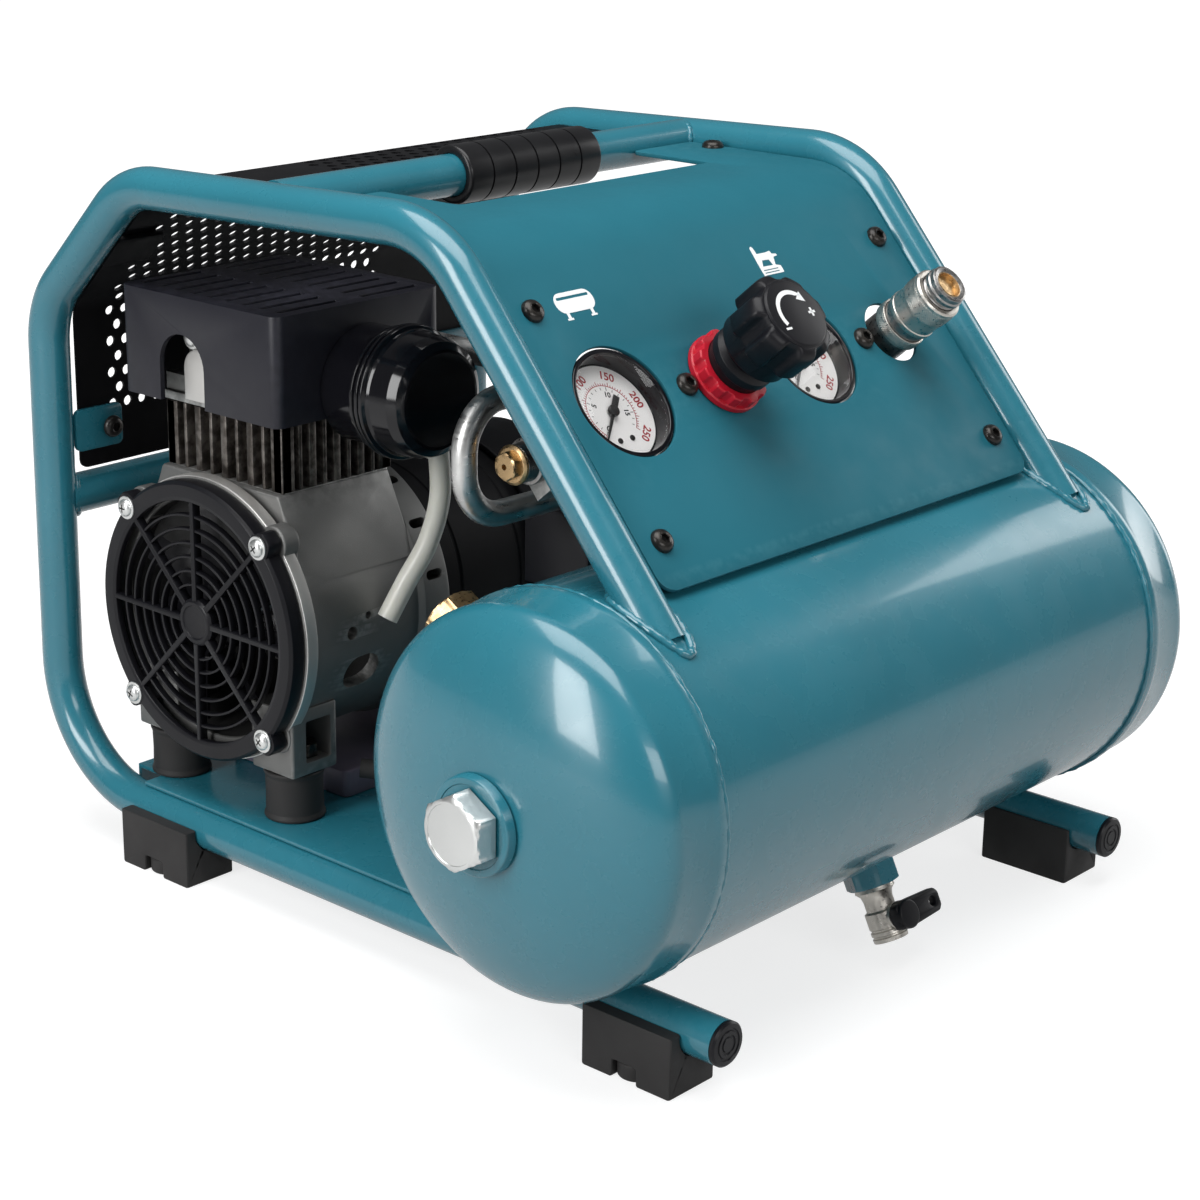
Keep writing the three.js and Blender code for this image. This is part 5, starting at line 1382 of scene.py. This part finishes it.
def build_fan():
    blade = fan_blade()
    shapes = [moved(blade, Matrix.Rotation(2 * math.pi * k / 7, 4, "X")) for k in range(7)]
    hub = rounded([(7.3, -6), (15, -6), (16, 6), (7.3, 6)], 1.0, True)
    wheel = together(lathe(hub, axis=X, sides=48, closed=True), *shapes)
    make("fan_wheel", moved(wheel, Matrix.Translation(on_axis(middle("fan").x))), SATIN_BLACK, body="crank",
         sharp=40, replaces=["fan"])


def fins():
    """Upright fins on the four sides of the cylinder, alternately broad and narrow."""
    low, high = corners("cylinder")
    core = 5.5
    root = core + 2
    middle_block = rectangle(low.x + core, high.x - core, low.y + core, high.y - core, 2.0)
    shapes = [flat([middle_block, circle(CYLINDER.x, CYLINDER.y, 27.3, 64)], low.z, high.z, 0)]
    widths = [6.0, 2.2, 4.2, 2.2, 4.2, 2.2, 4.2, 2.2, 6.0]
    for along, across in ((0, 1), (1, 0)):
        gap = (high[along] - low[along] - sum(widths)) / (len(widths) - 1)
        start = low[along]
        for width in widths:
            run = (start, start + width)
            for reach in ((low[across], low[across] + root), (high[across] - root, high[across])):
                sides = (*run, *reach) if along == 0 else (*reach, *run)
                shapes.append(flat([rectangle(*sides, 0.7, 2)], low.z, high.z, 0.2))
            start += width + gap
    return together(*shapes)


def head_casting():
    """The end of the head casting, coloured bright as painted light, and its screw, seen through the arch in
    the cover's left side.
    """
    end = COVER_LOW.x + 3
    outline = rounded([(-10.5, -1), (-10.5, -25), (9.5, -25), (9.5, -1)], [0, 9.5, 9.5, 0], True, 10)
    where = turned_to(-X, Y, (end + 15, 112, COVER_LOW.z))
    make("head_end", moved(flat([outline], 0, 13, 1.2), where), CAST_PAINTED_LIGHT)
    make("head_screw", moved(cross_screw(), turned_to(-X, Y, (end + 6, 119, COVER_LOW.z + 29))), ZINC)


def build_filter():
    centre = Vector((-83, COVER_LOW.y, 235))
    base = rounded([(0, 0.3), (26.4, 0.3), (26.4, 18.6), (28.4, 20.2), (28.4, 22.0), (27.0, 22.8),
                    (27.0, 24.2), (29.9, 25.0), (29.9, 27.0), (0, 27.0)], 0.6)
    cap = rounded([(0, 27.3), (29.9, 27.3), (29.9, 29.4), (28.0, 30.4), (27.4, 32), (26.9, 42), (25.2, 46.4),
                   (22.0, 48.4), (20.6, 48.6), (0, 48.2)], 0.9)
    for name, profile, node in (("base", base, "air_filter_body"), ("cap", cap, "air_filter_cap")):
        make(f"filter_{name}", lathe(profile, centre, -Y, 96), GLOSS_BLACK, sharp=50, replaces=[node])


def build_mounts():
    for place in ("front_left", "front_right", "rear_left", "rear_right"):
        node = f"pump_mount_{place}"
        low, high = corners(node)
        centre = middle(node)
        height = high.z - low.z
        profile = rounded([(0, 0), (14, 0), (14, 1.2), (13.3, 3.0), (13.1, height / 2), (13.3, height - 3),
                           (14, height - 1.2), (14, height), (0, height)], 0.6)
        make(f"{node}_rubber", lathe(profile, (centre.x, centre.y, low.z), sides=64), RUBBER, replaces=[node])


def build_motor():
    low, high = corners("motor_housing")
    outside, groove, inside = 54, 53.4, 50
    can = [(inside, low.x), (outside, low.x)]
    for x in (low.x + 14, high.x - 16):
        can += [(outside, x), (groove, x + 0.6), (groove, x + 2.2), (outside, x + 2.8)]
    can += [(outside, high.x), (inside, high.x)]
    shapes = [lathe(can, SHAFT, X, 96, closed=True)]
    shapes += [block((-2, y - 13.6, PUMP_FEET_Z), (26, y + 13.6, 88), 1.4) for y in PUMP_FEET_Y]
    make("motor_can", together(*shapes), BLACK_COAT, replaces=["motor_housing"])
    keep("motor_end_bell", CAST, 0.8)
    keep("motor_stator", COPPER, 0.6)
    for node in ("motor_rotor", "crankshaft"):
        keep(node, STEEL, 0.4)
    for node in ("connecting_rod", "piston", "cylinder_head"):
        keep(node, CAST, 0.6)


def motor_end_cover():
    """Black moulded cover over the motor's open end, with a ring of long slots in its face."""
    start = corners("motor_housing")[1].x - 4
    rim = [(55, 0), (58, 0), (58, 36), (54, 40), (50, 40), (50, 37.5), (53, 37.5), (55, 35.5)]
    count = 18
    slots = []
    for k in range(count):
        turn = Matrix.Rotation(2 * math.pi * k / count, 2)
        slots.append([tuple(turn @ Vector(p)) for p in rectangle(20, 45, -1.7, 1.7, 1.6, 3)])
    face = flat([circle(0, 0, 51, 72), *slots], 37.6, 39.8)
    cover = together(lathe(rounded(rim, 1.0, True), sides=96, closed=True), face)
    make("motor_cover", moved(cover, turned_to(X, Y, on_axis(start))), BLACK_COAT)


def build_pump():
    crankcase_parts()
    case_trim()
    build_guard()
    build_fan()
    make("fin_block", fins(), FIN_IRON, replaces=["cylinder"])
    keep("head_cover", COVER_BLACK, 0.7)
    head_casting()
    build_filter()
    build_mounts()
    build_motor()
    motor_end_cover()


# ---------------------------------------------------------------- pipes, hose, switch and cable
PIPE_R = 5.5


def discharge_points():
    low, high = corners("discharge_pipe")
    left = low.x + PIPE_R
    top = high.z - PIPE_R
    start_x, front_y, run_z = -48, -45, 198.5
    away = radial(CHECK_PORT)
    check = Vector((middle("check_valve").x, TANK.y, TANK.z)) + away * (TANK_R + 16)
    corner = check + away * ((run_z - check.z) / away.z)
    points = [(start_x, 74.5, top), (start_x, front_y, top), (left, front_y, top), (left, front_y, run_z),
              corner, check]
    return bent(points, [0, 18, 21, 21, 12, 0], 6)


def build_pipes():
    make("air_pipe", sweep(discharge_points(), PIPE_R, 32), ALUMINIUM, sharp=60, replaces=["discharge_pipe"])
    hose = [(-64.3, 26, 207.5), (-64.0, 25.5, 184), (-68.2, 29, 163), (-76.6, 34.5, 145), (-85.8, 37.5, 129)]
    make("vent_hose", sweep(smooth_path(hose), 4.8, 32, bore=3.3), HOSE, sharp=60, replaces=["intake_hose"])
    cable = [(-90, 52, 54), (-60, 20, 50), (0, 6, 46), (40, -4, 60), (46, -20, 120), (30, -41, 150)]
    make("power_cable", sweep(smooth_path(cable), 4.5, 24), RUBBER, sharp=60, replaces=["motor_cable"])
    keep("pressure_switch", SATIN_BLACK, 1.6)
    keep("switch_lever", RED)
    make("plate_box", block((-92, 60, 36.9), (-22, 140, 50), 3.0), BOX_PLASTIC_PAINTED_LIGHT)


# ---------------------------------------------------------------- stage
FLOOR_REACH = 6.0
# Glow of the floor for the camera near the object, and the share of it that mirrors see.
FLOOR_LIFT = 0.76
MIRRORED_FLOOR = 0.5
# Strength of the room's light on the object, and of the background that the camera sees.
ROOM_LIGHT = 0.14
BACKGROUND_LIGHT = 1.2
LIT_POINT = (0, 0, 0.16)
# The viewpoint: place in millimetres; turn, tilt and roll in degrees; lens on a sensor 36 mm wide.
CAMERA_PLACE = (-875.2, -791.2, 515.7)
CAMERA_ANGLES = (-48.3925, 18.2707, 0.8145)
CAMERA_LENS = 80.42


def floor_finish():
    """Pale matt floor that glows a little for the camera, so that the ground looks white round the object."""
    material = surface("pale_floor", (0.34, 0.34, 0.34), 0.8, grain=(900, 40, 0.02), uneven=0.01)
    tree = material.node_tree
    p = tree.nodes["Principled BSDF"]
    p.inputs["Emission Color"].default_value = (1, 1, 1, 1)
    away = tree.nodes.new("ShaderNodeVectorMath")
    away.operation = "LENGTH"
    tree.links.new(tree.nodes.new("ShaderNodeTexCoord").outputs["Object"], away.inputs[0])
    fade = tree.nodes.new("ShaderNodeMapRange")
    for socket, value in (("From Min", 0.35), ("From Max", 1.2), ("To Min", FLOOR_LIFT), ("To Max", 1.0)):
        fade.inputs[socket].default_value = value
    tree.links.new(away.outputs["Value"], fade.inputs["Value"])
    rays = tree.nodes.new("ShaderNodeLightPath")
    seen = tree.nodes.new("ShaderNodeMath")
    seen.operation = "MULTIPLY_ADD"
    seen.inputs[1].default_value = MIRRORED_FLOOR
    tree.links.new(rays.outputs["Is Glossy Ray"], seen.inputs[0])
    tree.links.new(rays.outputs["Is Camera Ray"], seen.inputs[2])
    lift = tree.nodes.new("ShaderNodeMath")
    lift.operation = "MULTIPLY"
    tree.links.new(fade.outputs["Result"], lift.inputs[1])
    tree.links.new(seen.outputs[0], lift.inputs[0])
    tree.links.new(lift.outputs[0], p.inputs["Emission Strength"])
    return material


def build_stage():
    floor_mesh = bpy.data.meshes.new("floor")
    floor_corners = [(x * FLOOR_REACH, y * FLOOR_REACH, 0) for x, y in ((-1, -1), (1, -1), (1, 1), (-1, 1))]
    floor_mesh.from_pydata(floor_corners, [], [(0, 1, 2, 3)])
    floor_mesh.materials.append(floor_finish())
    floor = bpy.data.objects.new("floor", floor_mesh)
    bpy.context.scene.collection.objects.link(floor)
    world = bpy.data.worlds.new("studio")
    bpy.context.scene.world = world
    world.use_nodes = True
    tree = world.node_tree
    level = tree.nodes.new("ShaderNodeMapRange")
    level.inputs["To Min"].default_value = ROOM_LIGHT
    level.inputs["To Max"].default_value = BACKGROUND_LIGHT
    tree.links.new(tree.nodes.new("ShaderNodeLightPath").outputs["Is Camera Ray"], level.inputs["Value"])
    background = tree.nodes["Background"]
    background.inputs["Color"].default_value = (0.97, 0.985, 1.0, 1)
    tree.links.new(level.outputs["Result"], background.inputs["Strength"])
    bpy.context.scene.view_settings.view_transform = "Standard"


def area_light(name, place, size, power):
    data = bpy.data.lights.new(name, "AREA")
    data.shape = "RECTANGLE"
    data.size, data.size_y = size
    data.energy = power
    lamp = bpy.data.objects.new(name, data)
    bpy.context.scene.collection.objects.link(lamp)
    lamp.location = place
    lamp.rotation_euler = (Vector(LIT_POINT) - Vector(place)).to_track_quat("-Z", "Y").to_euler()


def build_camera():
    data = bpy.data.cameras.new("camera")
    data.sensor_width = 36.0
    data.lens = CAMERA_LENS
    camera = bpy.data.objects.new("camera", data)
    bpy.context.scene.collection.objects.link(camera)
    turn, tilt, roll = (math.radians(angle) for angle in CAMERA_ANGLES)
    ahead = Vector((-math.sin(turn) * math.cos(tilt), math.cos(turn) * math.cos(tilt), -math.sin(tilt)))
    level = Vector((math.cos(turn), math.sin(turn), 0))
    upright = level.cross(ahead)
    right = level * math.cos(roll) + upright * math.sin(roll)
    above = upright * math.cos(roll) - level * math.sin(roll)
    facing = Matrix((right, above, -ahead)).transposed().to_4x4()
    camera.matrix_world = Matrix.Translation(Vector(CAMERA_PLACE) * MM) @ facing
    bpy.context.scene.camera = camera


def build_lights():
    for name, place, size, power in (("top", (-0.2, -0.1, 1.6), (1.5, 1.1), 26),
                                     ("left", (-1.8, 0.1, 0.9), (0.6, 1.3), 26),
                                     ("front", (-0.5, -2.0, 1.0), (1.3, 0.6), 12),
                                     ("right", (1.7, -0.5, 0.7), (0.5, 1.2), 7)):
        area_light(f"{name}_softbox", place, size, power)


build_frame()
build_tank()
build_panel()
build_rear_cover()
build_pump()
build_pipes()
build_stage()
build_lights()
build_camera()
